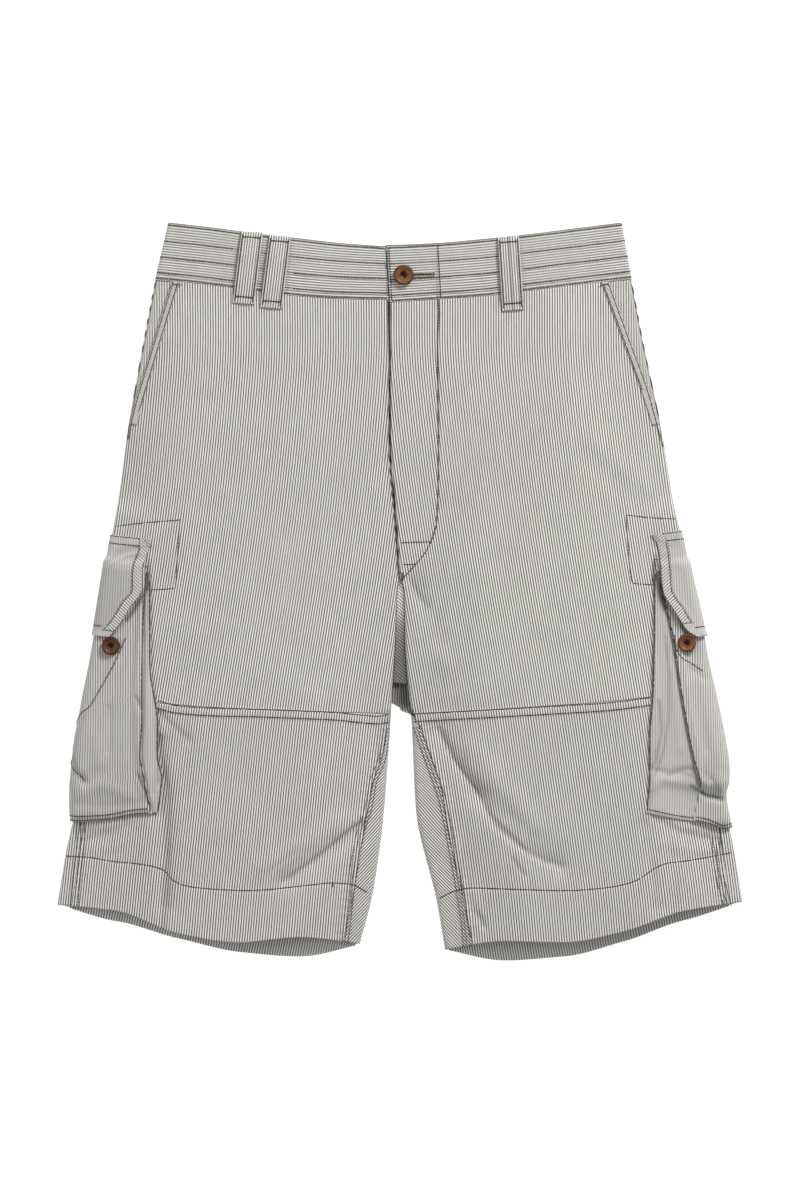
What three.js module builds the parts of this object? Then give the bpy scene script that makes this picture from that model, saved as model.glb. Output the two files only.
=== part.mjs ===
// Cargo shorts lying flat, front side up: +X to the right as seen, +Y toward the waist, +Z up.
// Every piece is a thin wall on one shared skin, worked out from the sections below.
import * as THREE from 'three';

// Driving sizes, millimetres
const CLOTH = 1.2;            // wall of one cloth piece
const BAND_CLOTH = 2.0;       // waistband, folded double
const SEAM = 0.15;            // half of the space left between two pieces
const SIDE_FOLD = 3.5;        // radius of the fold along each outer side
const LAP_RISE = 1.0;         // how far the lapped front stands above the other
const LAP_WIDTH = 34;         // distance over which that rise dies out
const UNDER_LIFT = 3.7;       // room under the sides for the rear halves of the cargo pockets
const LAYER = CLOTH + 0.35;   // step from one cloth layer to the next
const CLOTH_WIDE = 0.5708;    // unrolled length of a quarter fold less its width, per radius

const COLOUR = { cloth: 0xb9b6b0, band: 0xb3b0aa, dark: 0xa5a29c, button: 0x9a5a2c };

// Sections from hem to waist. v is the height of the section's middle above the hem line,
// outer and inner are distances from the centre line, y0 to y5 the heights at six even places
// from the outer to the inner edge, crown the swell of the leg, innerHigh the height of the
// front at its inner edge, roll the radius it rolls down with there, outseam and inseam how
// far those seams lie on the front, measured along the cloth from the edge of the leg.
const COLUMNS = ['v', 'outer', 'inner', 'y0', 'y1', 'y2', 'y3', 'y4', 'y5',
  'crown', 'innerHigh', 'roll', 'outseam', 'inseam'];
const LEFT_SECTIONS = [
  [18, 308.7, 36.0, 49.5, 44.1, 24.3, 16.2, 20.7, 14.4, 10.5, 9, 4.5, 15, 18],
  [66, 301.5, 24.3, 93.6, 89.1, 72.9, 63.0, 66.6, 60.3, 11.0, 9, 4.5, 14, 20],
  [132, 291.6, 14.4, 143.1, 140.4, 134.1, 130.5, 131.4, 133.2, 11.5, 9, 4.5, 7, 18],
  [226, 281.7, 8.1, 237.6, 232.2, 227.7, 225.0, 223.2, 221.4, 11.5, 9, 4.5, 1, 1.5],
  [244, 279.0, 7.2, 255.6, 250.2, 245.7, 243.0, 241.2, 239.4, 10.5, 9.8, 4.5, 0, 0],
  [290, 271.8, 4.5, 302.4, 297.0, 291.6, 288.9, 287.1, 285.3, 7.5, 11.5, 3.6, 0, 0],
  [338, 264.6, 2.7, 351.0, 345.6, 340.2, 336.6, 334.8, 333.0, 5.0, 13, 1.5, 0, 0],
  [352, 262.5, 0.9, 364.5, 359.1, 353.7, 350.1, 348.3, 346.5, 4.5, 13.5, 0, 0, 0],
  [398, 254.0, 3.6, 412.2, 406.8, 400.5, 396.9, 394.2, 392.4, 3.5, 14, 0, 0, 0],
  [469, 244.4, 9.0, 482.4, 477.0, 471.6, 468.0, 465.3, 463.5, 2.8, 14, 0, 0, 0],
  [540, 232.0, 9.0, 553.5, 548.1, 542.7, 539.1, 536.4, 534.6, 1.5, 12, 0, 0, 0],
  [600, 220.5, 9.9, 612.9, 608.4, 603.0, 597.6, 594.9, 594.0, 0.8, 10, 0, 0, 0],
  [651, 208.8, 12.6, 664.2, 659.7, 654.3, 649.8, 645.3, 642.6, 0.5, 10, 0, 0, 0],
];
const RIGHT_SECTIONS = [
  [18, 308.7, 40.5, 52.2, 44.1, 26.1, 16.2, 17.1, 9.0, 10.5, 9, 4.5, 15, 28],
  [66, 301.5, 32.4, 97.2, 90.0, 74.7, 63.0, 64.8, 55.8, 11.0, 9, 4.5, 13, 26],
  [132, 291.6, 14.4, 144.0, 141.3, 134.1, 130.5, 131.4, 133.2, 11.5, 9, 4.5, 8, 29],
  [226, 279.0, 9.9, 243.0, 236.7, 231.3, 227.7, 224.1, 221.4, 11.5, 9, 4.5, 1, 5],
  [244, 276.3, 8.1, 259.2, 252.9, 247.5, 243.9, 241.2, 237.6, 10.5, 9.8, 4.5, 0, 0],
  [290, 269.1, 4.5, 304.2, 298.8, 293.4, 289.8, 287.1, 285.3, 7.5, 11.5, 3.6, 0, 0],
  [338, 259.0, 3.6, 352.8, 347.4, 342.0, 337.5, 334.8, 333.0, 5.0, 13, 1.5, 0, 0],
  [352, 256.8, -0.9, 366.3, 360.9, 355.5, 351.0, 348.3, 346.5, 4.5, 13.5, 0, 0, 0],
  [398, 246.0, -3.6, 414.0, 407.7, 401.4, 397.8, 394.2, 392.4, 3.5, 14, 0, 0, 0],
  [469, 235.0, -9.0, 482.4, 477.0, 471.6, 468.0, 465.3, 463.5, 2.8, 14, 0, 0, 0],
  [540, 220.0, -9.0, 553.5, 548.1, 542.7, 539.1, 536.4, 534.6, 1.5, 12, 0, 0, 0],
  [600, 208.8, -9.9, 613.8, 608.4, 603.0, 597.6, 594.5, 591.5, 0.8, 10, 0, 0, 0],
  [651, 199.8, -12.6, 664.2, 658.8, 653.4, 648.9, 645.3, 643.5, 0.5, 10, 0, 0, 0],
];

// Named heights along v
const HEM = 18;
const KNEE = 226;
const FORK_LOW = 226;
const FORK_HIGH = 243;
const GUSSET_LOW = 254;
const GUSSET_TIP = 349;
const LAP_END = 352;
const WAIST_SEAM = 600;
const WAIST_TOP = 651;
// Rows of points that the front and back share, so that their seams run together
const LOWER_ROWS = [18, 36, 54, 72, 90, 101, 112, 126, 146, 166, 186, 206, KNEE];
const UPPER_ROWS = [KNEE, 234, FORK_HIGH, 262, 285, 310, 338, LAP_END, 370, 384, 395, 406, 440, 469,
  505, 540, 570, WAIST_SEAM];

// How much longer the back hem is than the front hem, at the same six places
const BACK_DROP = { left: [0, 9.9, 5.4, 9.4, 18, 0.9], right: [0, 9, 9.9, 13.5, 18, 0] };
const DROP_FADE = 110;

// Largest creases of the front: a soft trough (depth below 0) or ridge between two points
const CREASES = [
  { x1: -38, y1: 116, x2: -104, y2: 71, depth: -2.6, wide: 9 },
  { x1: -52, y1: 124, x2: -120, y2: 84, depth: 1.8, wide: 10 },
  { x1: 36, y1: 206, x2: 72, y2: 150, depth: -2.4, wide: 9 },
  { x1: 72, y1: 150, x2: 144, y2: 84, depth: -2.6, wide: 10 },
  { x1: 62, y1: 190, x2: 120, y2: 118, depth: 2.0, wide: 12 },
  { x1: -212, y1: 50, x2: -214, y2: 196, depth: -2.4, wide: 7 },
  { x1: 231, y1: 48, x2: 222, y2: 120, depth: -2.2, wide: 7 },
  { x1: 10, y1: 344, x2: 34, y2: 286, depth: -1.8, wide: 9 },
];

// Opening edge of the slanted side pockets, x from the centre line
const MOUTH = {
  left: [{ x: 205.2, y: 611.1 }, { x: 225, y: 546.3 }, { x: 240.3, y: 495 }, { x: 245.7, y: 468 }],
  right: [{ x: 188.1, y: 610.2 }, { x: 206.1, y: 561.6 }, { x: 223.2, y: 514.8 }, { x: 238, y: 461.7 }],
};
const MOUTH_END = 455;
const FACING_UNDER = 12;      // how far the pocket facing runs on under the front
const MOUTH_STRIP = 6.5;      // strip sewn along the opening edge

// Cargo pockets, a row per height: front is the front edge of the bag, gusset where its
// gusset meets the leg, both from the centre line; high is how far the bag's front edge
// stands off the leg, side how far it bulges at the side of the leg.
const POCKET = {
  left: [
    { y: 131, front: 222, gusset: 217, high: 1.9, side: 2.2 },
    { y: 146, front: 225, gusset: 215, high: 5, side: 6 },
    { y: 163, front: 227.7, gusset: 213, high: 7, side: 8 },
    { y: 184.5, front: 230.8, gusset: 216.9, high: 8, side: 8 },
    { y: 218, front: 229.5, gusset: 216.9, high: 8, side: 5.4 },
    { y: 261, front: 229.9, gusset: 223.5, high: 6.5, side: 3 },
    { y: 290, front: 229.5, gusset: 224, high: 5, side: 2.4 },
    { y: 331, front: 228.6, gusset: 224.1, high: 3, side: 2 },
    { y: 352, front: 226.5, gusset: 223.5, high: 1.8, side: 1.8 },
  ],
  right: [
    { y: 126, front: 262, gusset: 222.3, high: 2.4, side: 2.9 },
    { y: 152, front: 268, gusset: 222.8, high: 4, side: 3 },
    { y: 164, front: 268.2, gusset: 223.2, high: 8, side: 8 },
    { y: 178, front: 263.7, gusset: 223.2, high: 10, side: 9.5 },
    { y: 207, front: 257.4, gusset: 223.2, high: 10, side: 8 },
    { y: 243, front: 251.1, gusset: 225.9, high: 8.5, side: 5 },
    { y: 272, front: 247.5, gusset: 226.8, high: 7, side: 3.4 },
    { y: 307, front: 241.2, gusset: 227.7, high: 5, side: 2.6 },
    { y: 331, front: 234.9, gusset: 228, high: 3, side: 2.2 },
    { y: 352, front: 232, gusset: 228.4, high: 1.8, side: 1.8 },
  ],
};
const POCKET_REAR = { low: -70, high: -96 };
// Lower edge of the pocket from the side of the leg inwards: x from the centre line, y
const POCKET_FOOT = {
  left: [{ x: 291, y: 124.5 }, { x: 263, y: 126 }, { x: 240.5, y: 130 }, { x: 219, y: 131.5 }],
  right: [{ x: 291, y: 118.5 }, { x: 276.5, y: 123 }, { x: 247.5, y: 127 }, { x: 223, y: 132 }],
};
const FOOT_FADE = 55;         // height over which the rows above the foot turn level
// Between these heights the bag's rear half draws in, to make room for the flap
const REAR_STEP = { low: 248, high: 268 };

// Flap outline, a row per height: the front edge's distance from the centre line
const FLAP = {
  left: [
    { y: 290.7, front: 262 }, { y: 301.5, front: 252.9 }, { y: 316.8, front: 243 },
    { y: 331.2, front: 233.1 }, { y: 351.9, front: 232.2 }, { y: 370.8, front: 225.9 },
    { y: 379, front: 225 },
  ],
  right: [
    { y: 290.5, front: 268.5 }, { y: 297, front: 258.3 }, { y: 313.2, front: 247.5 },
    { y: 331.2, front: 236.7 }, { y: 351.9, front: 234.9 }, { y: 372.6, front: 232.2 },
    { y: 383.4, front: 226.5 },
  ],
};
const FLAP_BINDING = 9;
const BINDING_FROM = 17;

// Belt loops on the front, x and y of the middle of each end
const LOOPS = [
  { name: 'belt_loop_left_outer', top: { x: -133.2, y: 655.2 }, end: { x: -141, y: 590.5 } },
  { name: 'belt_loop_left_inner', top: { x: -108, y: 651.7 }, end: { x: -116.2, y: 586.5 } },
  { name: 'belt_loop_right', top: { x: 97.2, y: 651.2 }, end: { x: 101.6, y: 584.5 } },
];
const LOOP_WIDTH = 19.5;
const LOOP_CLOTH = 1.3;
// Height of the loop over the band, from its top end (0) to its lower end (1)
const LOOP_BOW = [[0, 1.7], [0.1, 2.6], [0.35, 3.6], [0.65, 3.6], [0.86, 2.6], [0.93, 1.9], [1, 1.7]];

// Buttons: a turned disc with a rim and a dished middle
const BUTTONS = [
  { name: 'waist_button', x: 3.1, y: 616.5, width: 18, over: 'band' },
  { name: 'pocket_button_left', x: -260, y: 282.8, width: 16.5, over: 'pocket' },
  { name: 'pocket_button_right', x: 258, y: 285.5, width: 16.5, over: 'pocket' },
];
const BUTTON_THICK = 3.2;
const BUTTON_SHANK = 1;
const BUTTON_SIDES = 18;

// Small number helpers
const clamp = (a, low, high) => Math.min(high, Math.max(low, a));
const smooth = (a) => { const t = clamp(a, 0, 1); return t * t * (3 - 2 * t); };
const mix = (a, b, t) => a + (b - a) * t;

// Smooth curve through the points that never overshoots them
function curve(xs, ys) {
  const n = xs.length;
  const slope = [];
  for (let i = 0; i < n - 1; i++) slope.push((ys[i + 1] - ys[i]) / (xs[i + 1] - xs[i]));
  const tangent = xs.map((_, i) => {
    if (i === 0 || i === n - 1) return slope[Math.min(i, n - 2)];
    const [a, b] = [slope[i - 1], slope[i]];
    return a * b <= 0 ? 0 : (2 * a * b) / (a + b);
  });
  return (x) => {
    if (x <= xs[0]) return ys[0];
    if (x >= xs[n - 1]) return ys[n - 1];
    let i = 0;
    while (x > xs[i + 1]) i++;
    const width = xs[i + 1] - xs[i];
    const t = (x - xs[i]) / width;
    const [t2, t3] = [t * t, t * t * t];
    return (2 * t3 - 3 * t2 + 1) * ys[i] + (t3 - 2 * t2 + t) * width * tangent[i]
      + (3 * t2 - 2 * t3) * ys[i + 1] + (t3 - t2) * width * tangent[i + 1];
  };
}

// One half of the shorts: curves along v for every column of its sections
function makeSide(name, sign, sections) {
  const vs = sections.map((row) => row[0]);
  const side = { name, sign };
  COLUMNS.forEach((column, i) => {
    if (/^y\d$/.test(column)) side[column] = curve(vs, sections.map((row) => row[i] - row[0]));
    else if (i > 0) side[column] = curve(vs, sections.map((row) => row[i]));
  });
  side.drop = curve([0, 0.2, 0.4, 0.6, 0.8, 1], BACK_DROP[name]);
  side.width = (v) => side.outer(v) - side.inner(v);
  side.unrolled = (v) => side.width(v) + CLOTH_WIDE * (SIDE_FOLD + side.roll(v));
  return side;
}
const SIDES = [makeSide('left', -1, LEFT_SECTIONS), makeSide('right', 1, RIGHT_SECTIONS)];
const [LEFT, RIGHT] = SIDES;

// Height of the section's line at the part t of the way from its outer to its inner edge
function lineHeight(side, v, t) {
  const places = [0, 1, 2, 3, 4, 5].map((k) => side[`y${k}`](v));
  return v + curve([0, 0.2, 0.4, 0.6, 0.8, 1], places)(clamp(t, 0, 1));
}

// Rise of the back under the rear halves of the cargo pockets
function underLift(v, back) {
  const along = smooth((v - 94) / 18) * (1 - smooth((v - 384) / 22));
  return UNDER_LIFT * along * (1 - smooth((back - 104) / 22));
}

function creaseHeight(x, y) {
  let height = 0;
  for (const c of CREASES) {
    const [dx, dy] = [c.x2 - c.x1, c.y2 - c.y1];
    const length = Math.hypot(dx, dy);
    const along = ((x - c.x1) * dx + (y - c.y1) * dy) / length;
    const across = ((x - c.x1) * dy - (y - c.y1) * dx) / length;
    const past = Math.max(0, -along, along - length) / c.wide;
    height += c.depth * Math.exp(-((across / c.wide) ** 2) - past * past);
  }
  return height;
}

// Point of the skin. s is measured along the cloth from the outermost line of the side:
// above 0 over the front, below 0 round the fold and under the back.
function skinPoint(side, v, s, creased = true) {
  const quarter = (Math.PI / 2) * SIDE_FOLD;
  const roll = side.roll(v);
  const innerQuarter = (Math.PI / 2) * roll;
  const unrolled = side.unrolled(v);
  const width = side.width(v);
  const lift = underLift(v, Math.max(0, -s));
  const topLift = underLift(v, 0) * (1 - smooth(s / 45));
  let across;
  let z;
  let under = 0;
  if (s < -quarter) {
    across = -s - CLOTH_WIDE * SIDE_FOLD;
    z = lift;
    under = smooth((-s - quarter) / 12);
  } else if (s <= quarter) {
    const angle = s / SIDE_FOLD;
    across = SIDE_FOLD * (1 - Math.cos(angle));
    z = SIDE_FOLD * (1 + Math.sin(angle)) + mix(lift, topLift, smooth(0.5 + s / quarter / 2));
  } else {
    across = s - CLOTH_WIDE * SIDE_FOLD;
    z = 2 * SIDE_FOLD + topLift;
  }
  if (s > unrolled + innerQuarter) {
    across = width - (s - unrolled - CLOTH_WIDE * roll);
    z = 0;
    under = smooth((s - unrolled - innerQuarter) / 12);
  } else if (s > unrolled - innerQuarter && roll > 0.05) {
    const angle = (unrolled - s) / roll;
    across = width - roll * (1 - Math.cos(angle));
    z = side.innerHigh(v) - roll * (1 - Math.sin(angle));
  } else if (s > quarter) {
    const t = across / width;
    const swell = smooth(Math.min(1, Math.min(t, 1 - t) / 0.3));
    const lap = side === RIGHT && v > LAP_END - 8
      ? LAP_RISE * (1 - smooth((width - across) / LAP_WIDTH)) * smooth((v - LAP_END + 8) / 8) : 0;
    z += (side.innerHigh(v) - 2 * SIDE_FOLD) * smooth(t / 0.45) + side.crown(v) * swell + lap;
  }
  const x = side.sign * (side.outer(v) - across);
  const t = across / width;
  const fade = 1 - smooth((v - HEM) / DROP_FADE);
  const y = lineHeight(side, v, t) - under * fade * side.drop(clamp(t, 0, 1));
  const onFront = s > quarter && s < unrolled - innerQuarter;
  if (onFront && creased) {
    const edge = smooth(Math.min(s - quarter, unrolled - innerQuarter - s) / 12);
    z += creaseHeight(x, y) * edge;
  }
  return new THREE.Vector3(x, y, z);
}

// Skin point with its outward normal, from two small steps along the skin
function skin(side, v, s, creased = true) {
  const step = 0.2;
  const at = (dv, ds) => skinPoint(side, v + dv, s + ds, creased);
  const point = at(0, 0);
  const along = at(step, 0).sub(at(-step, 0));
  const over = at(0, step).sub(at(0, -step));
  const normal = new THREE.Vector3().crossVectors(over, along).multiplyScalar(-side.sign).normalize();
  return { point, normal };
}

// The v and s of the skin point that lies at x (from the centre line, positive) and y
function locate(side, x, y) {
  let v = y;
  for (let i = 0; i < 12; i++) {
    const t = (side.outer(v) - x) / side.width(v);
    v += y - lineHeight(side, v, t);
  }
  return { v, s: side.outer(v) - x + CLOTH_WIDE * SIDE_FOLD };
}

// Closed solid of a wall: a grid of outer points and the inner points behind them
function wallGeometry(outer, inner) {
  const rows = outer.length;
  const columns = outer[0].length;
  const count = rows * columns;
  const positions = [];
  for (const grid of [outer, inner]) {
    for (const row of grid) for (const p of row) positions.push(p.x, p.y, p.z);
  }
  const index = [];
  const at = (i, j, layer) => layer * count + i * columns + j;
  const quad = (a, b, c, d) => index.push(a, b, c, a, c, d);
  for (let i = 0; i < rows - 1; i++) {
    for (let j = 0; j < columns - 1; j++) {
      quad(at(i, j, 0), at(i, j + 1, 0), at(i + 1, j + 1, 0), at(i + 1, j, 0));
      quad(at(i, j, 1), at(i + 1, j, 1), at(i + 1, j + 1, 1), at(i, j + 1, 1));
    }
  }
  for (let j = 0; j < columns - 1; j++) {
    quad(at(0, j, 0), at(0, j, 1), at(0, j + 1, 1), at(0, j + 1, 0));
    quad(at(rows - 1, j, 0), at(rows - 1, j + 1, 0), at(rows - 1, j + 1, 1), at(rows - 1, j, 1));
  }
  for (let i = 0; i < rows - 1; i++) {
    quad(at(i, 0, 0), at(i + 1, 0, 0), at(i + 1, 0, 1), at(i, 0, 1));
    quad(at(i, columns - 1, 0), at(i, columns - 1, 1), at(i + 1, columns - 1, 1), at(i + 1, columns - 1, 0));
  }
  if (signedVolume(positions, index) < 0) {
    for (let i = 0; i < index.length; i += 3) [index[i], index[i + 1]] = [index[i + 1], index[i]];
  }
  const geometry = new THREE.BufferGeometry();
  geometry.setAttribute('position', new THREE.Float32BufferAttribute(positions, 3));
  geometry.setIndex(index);
  geometry.computeVertexNormals();
  return geometry;
}

function signedVolume(positions, index) {
  const corner = (i) => new THREE.Vector3().fromArray(positions, 3 * index[i]);
  let sum = 0;
  for (let i = 0; i < index.length; i += 3) {
    sum += corner(i).dot(corner(i + 1).cross(corner(i + 2)));
  }
  return sum;
}

const onSkin = () => 0;

// Wall lying on the skin: columns(v) gives the s of each column, lift(v, s) the height of its
// outer face over the skin, sag(v, s) how far a row leaves its v. What lies on a panel bridges
// the panel's creases.
function skinWall(side, vs, columns, lift, thick, creased = false, sag = onSkin) {
  const outer = [];
  const inner = [];
  for (const v of vs) {
    const outerRow = [];
    const innerRow = [];
    for (const s of columns(v)) {
      const { point, normal } = skin(side, v + sag(v, s), s, creased);
      const up = lift(v, s);
      const top = point.clone().addScaledVector(normal, up);
      const base = point.clone().addScaledVector(normal, up - thick);
      top.z = Math.max(top.z, 0);
      base.z = Math.max(base.z, top.z < thick ? thick : 0);
      outerRow.push(top);
      innerRow.push(base);
    }
    outer.push(outerRow);
    inner.push(innerRow);
  }
  return wallGeometry(outer, inner);
}

const steps = (a, b, n) => Array.from({ length: n + 1 }, (_, i) => mix(a, b, i / n));

const group = new THREE.Group();
function addPiece(name, geometry, color, roughness = 0.92) {
  const material = new THREE.MeshStandardMaterial({ color, roughness, metalness: 0 });
  const mesh = new THREE.Mesh(geometry, material);
  mesh.name = name;
  group.add(mesh);
  return mesh;
}

// Columns of a front panel: close together where it bends, even between
function frontColumns(side, outerEdge) {
  return (v) => {
    const from = outerEdge(v) + SEAM;
    const to = side.unrolled(v) - side.inseam(v) - SEAM;
    return [0, 0.008, 0.02, ...steps(0.045, 0.955, 15), 0.98, 0.992, 1].map((u) => mix(from, to, u));
  };
}

// Slanted side pocket: where its opening edge lies along the cloth
function mouthEdge(side) {
  const places = MOUTH[side.name].map((p) => locate(side, p.x, p.y)).sort((a, b) => a.v - b.v);
  return curve([MOUTH_END, ...places.map((p) => p.v)], [0, ...places.map((p) => p.s)]);
}

function addFront(side) {
  const lower = [...LOWER_ROWS.slice(0, -1), KNEE - SEAM];
  addPiece(`front_lower_${side.name}`,
    skinWall(side, lower, frontColumns(side, side.outseam), onSkin, CLOTH, true), COLOUR.cloth);
  const mouth = mouthEdge(side);
  const edge = (v) => Math.max(side.outseam(v), v > MOUTH_END ? mouth(v) : 0);
  const upper = [KNEE + SEAM, ...UPPER_ROWS.slice(1, -1), WAIST_SEAM - SEAM];
  addPiece(`front_upper_${side.name}`,
    skinWall(side, upper, frontColumns(side, edge), onSkin, CLOTH, true), COLOUR.cloth);
  addPocketMouth(side, mouth);
}

function addPocketMouth(side, mouth) {
  const sunk = () => -LAYER;
  const facingRows = steps(MOUTH_END + 10, WAIST_SEAM - SEAM - 0.5, 6);
  const facing = (v) => steps(0.4, Math.max(mouth(v), 2) + FACING_UNDER, 5);
  addPiece(`pocket_facing_${side.name}`, skinWall(side, facingRows, facing, sunk, 1), COLOUR.band);
  const stripRows = steps(MOUTH_END + 14, WAIST_SEAM - SEAM, 8);
  const strip = (v) => steps(mouth(v) + SEAM, mouth(v) + SEAM + MOUTH_STRIP, 2);
  const raised = () => 1.3;
  addPiece(`pocket_strip_${side.name}`, skinWall(side, stripRows, strip, raised, 1), COLOUR.band);
}

// The back: from the outseam round the fold, under, and below the fork round to the inseam;
// above the fork it ends at the centre seam
function addBack(side) {
  const quarter = (Math.PI / 2) * SIDE_FOLD;
  const rows = [...LOWER_ROWS, ...UPPER_ROWS.slice(1, -1), WAIST_SEAM - SEAM];
  const outer = [];
  const inner = [];
  for (const v of rows) {
    const curl = 1 - smooth((v - FORK_LOW) / (FORK_HIGH - FORK_LOW));
    const seam = side.outseam(v) - SEAM;
    const unrolled = side.unrolled(v);
    const roll = Math.max(side.roll(v), 0.4);
    const flatEnd = -(side.outer(v) - Math.max(side.inner(v), 3) - roll + CLOTH_WIDE * SIDE_FOLD);
    const fold = steps(seam, -quarter, 4);
    const flat = [-16, -60, -104, -126, ...steps(-175, flatEnd, 2)];
    const points = [...fold, ...flat].map((s) => skin(side, v, s));
    const around = [0.25, 0.5, 0.75, 1];
    const from = unrolled + (Math.PI / 2) * roll;
    const to = unrolled - side.inseam(v) + SEAM;
    for (const u of around) {
      const wrapped = skin(side, v, mix(from, to, u));
      const last = points[fold.length + flat.length - 1];
      const level = {
        point: new THREE.Vector3(mix(last.point.x, side.sign * SEAM, u),
          lineHeight(side, v, 1), 0),
        normal: new THREE.Vector3(0, 0, -1),
      };
      points.push(curl > 0.001 ? {
        point: level.point.clone().lerp(wrapped.point, curl),
        normal: level.normal.clone().lerp(wrapped.normal, curl).normalize(),
      } : level);
    }
    outer.push(points.map((p) => p.point));
    inner.push(points.map((p) => p.point.clone().addScaledVector(p.normal, -CLOTH)));
  }
  addPiece(`back_${side.name}`, wallGeometry(outer, inner), COLOUR.cloth);
}

// Waistband half: from the front lap round the side to the centre of the back
function addWaistband(side) {
  const quarter = (Math.PI / 2) * SIDE_FOLD;
  const rows = steps(WAIST_SEAM + SEAM, WAIST_TOP, 3);
  const columns = (v) => {
    const lap = side.unrolled(v) - SEAM;
    const centre = -(side.outer(v) + CLOTH_WIDE * SIDE_FOLD - SEAM);
    return [...steps(lap, 14, 8), ...steps(quarter, -quarter, 4), ...steps(-16, centre, 5)];
  };
  addPiece(`waistband_${side.name}`, skinWall(side, rows, columns, onSkin, BAND_CLOTH), COLOUR.band);
}

// Crotch gusset: a narrow strip between the two legs, falling from the fly to the fork
function addGusset() {
  const outer = [];
  const inner = [];
  for (const v of steps(GUSSET_LOW, GUSSET_TIP, 7)) {
    const [a, b] = SIDES.map((side) => skinPoint(side, v, side.unrolled(v)));
    const outerRow = [];
    const innerRow = [];
    for (const u of [0, 0.33, 0.67, 1]) {
      const p = a.clone().lerp(b, u);
      p.x += u < 0.5 ? 0.4 * (1 - 2 * u) : -0.4 * (2 * u - 1);
      p.z -= 0.3 + 1.2 * Math.sin(Math.PI * u);
      outerRow.push(p);
      innerRow.push(p.clone().add(new THREE.Vector3(0, 0, -CLOTH)));
    }
    outer.push(outerRow);
    inner.push(innerRow);
  }
  addPiece('crotch_gusset', wallGeometry(outer, inner), COLOUR.dark);
}

// Cargo pocket: curves along v from its table
function pocketCurves(side) {
  const rows = POCKET[side.name].map((row) => {
    const place = locate(side, row.front, row.y);
    const base = locate(side, row.gusset, row.y);
    return { ...row, v: place.v, s: place.s, gussetS: base.s };
  });
  const vs = rows.map((row) => row.v);
  const along = (key) => curve(vs, rows.map((row) => row[key]));
  const span = { low: vs[0], high: vs[vs.length - 1] };
  const front = along('s');
  const high = along('high');
  const bulge = along('side');
  const rear = (v) => mix(POCKET_REAR.low, POCKET_REAR.high, (v - span.low) / (span.high - span.low));
  const rearLift = (v) => mix(UNDER_LIFT, LAYER + 0.25,
    smooth((v - REAR_STEP.low) / (REAR_STEP.high - REAR_STEP.low)));
  const lift = (v, s) => {
    if (s < 0) return mix(bulge(v), rearLift(v), smooth(-s / 8));
    return mix(bulge(v), high(v), smooth(s / Math.max(front(v), 8)));
  };
  const feet = POCKET_FOOT[side.name].map((p) => locate(side, p.x, p.y));
  const foot = curve(feet.map((p) => p.s), feet.map((p) => p.v - span.low));
  const sag = (v, s) => foot(s) * (1 - smooth((v - span.low) / FOOT_FADE)) * (1 - smooth(-s / 12));
  return { span, front, gusset: along('gussetS'), lift, high, rear, sag };
}

// Columns of a piece that wraps round the side: close together on the fold
function sideColumns(rear, front) {
  const quarter = (Math.PI / 2) * SIDE_FOLD;
  const fold = steps(-quarter, quarter, 4).filter((s) => s < front - 2);
  const last = fold[fold.length - 1];
  return [rear, -48, -20, -11, ...fold, ...steps(last, front, 9 - fold.length).slice(1)];
}

function addCargoPocket(side) {
  const pocket = pocketCurves(side);
  const { span } = pocket;
  const rows = [...steps(span.low, REAR_STEP.low, 8), ...steps(REAR_STEP.high, span.high, 5)];
  const bag = (v) => sideColumns(pocket.rear(v), pocket.front(v));
  addPiece(`cargo_bag_${side.name}`, skinWall(side, rows, bag, pocket.lift, CLOTH, false, pocket.sag),
    COLOUR.cloth);
  addPocketGusset(side, pocket, rows);
  addFlap(side, pocket);
}

// The gusset runs from under the bag's front edge down to the leg
function addPocketGusset(side, pocket, rows) {
  const columns = (v) => steps(pocket.front(v) - 2.5, pocket.gusset(v), 4);
  const lift = (v, s) => {
    const start = pocket.front(v) - 2.5;
    const t = clamp((s - start) / (pocket.gusset(v) - start), 0, 1);
    const top = Math.max(1.35, pocket.lift(v, start) - CLOTH - 0.4);
    return mix(top, 1.35, t);
  };
  const raised = rows.filter((v) => pocket.high(v) > 2.4);
  addPiece(`cargo_gusset_${side.name}`,
    skinWall(side, raised, columns, lift, 1, false, pocket.sag), COLOUR.dark);
}

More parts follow.
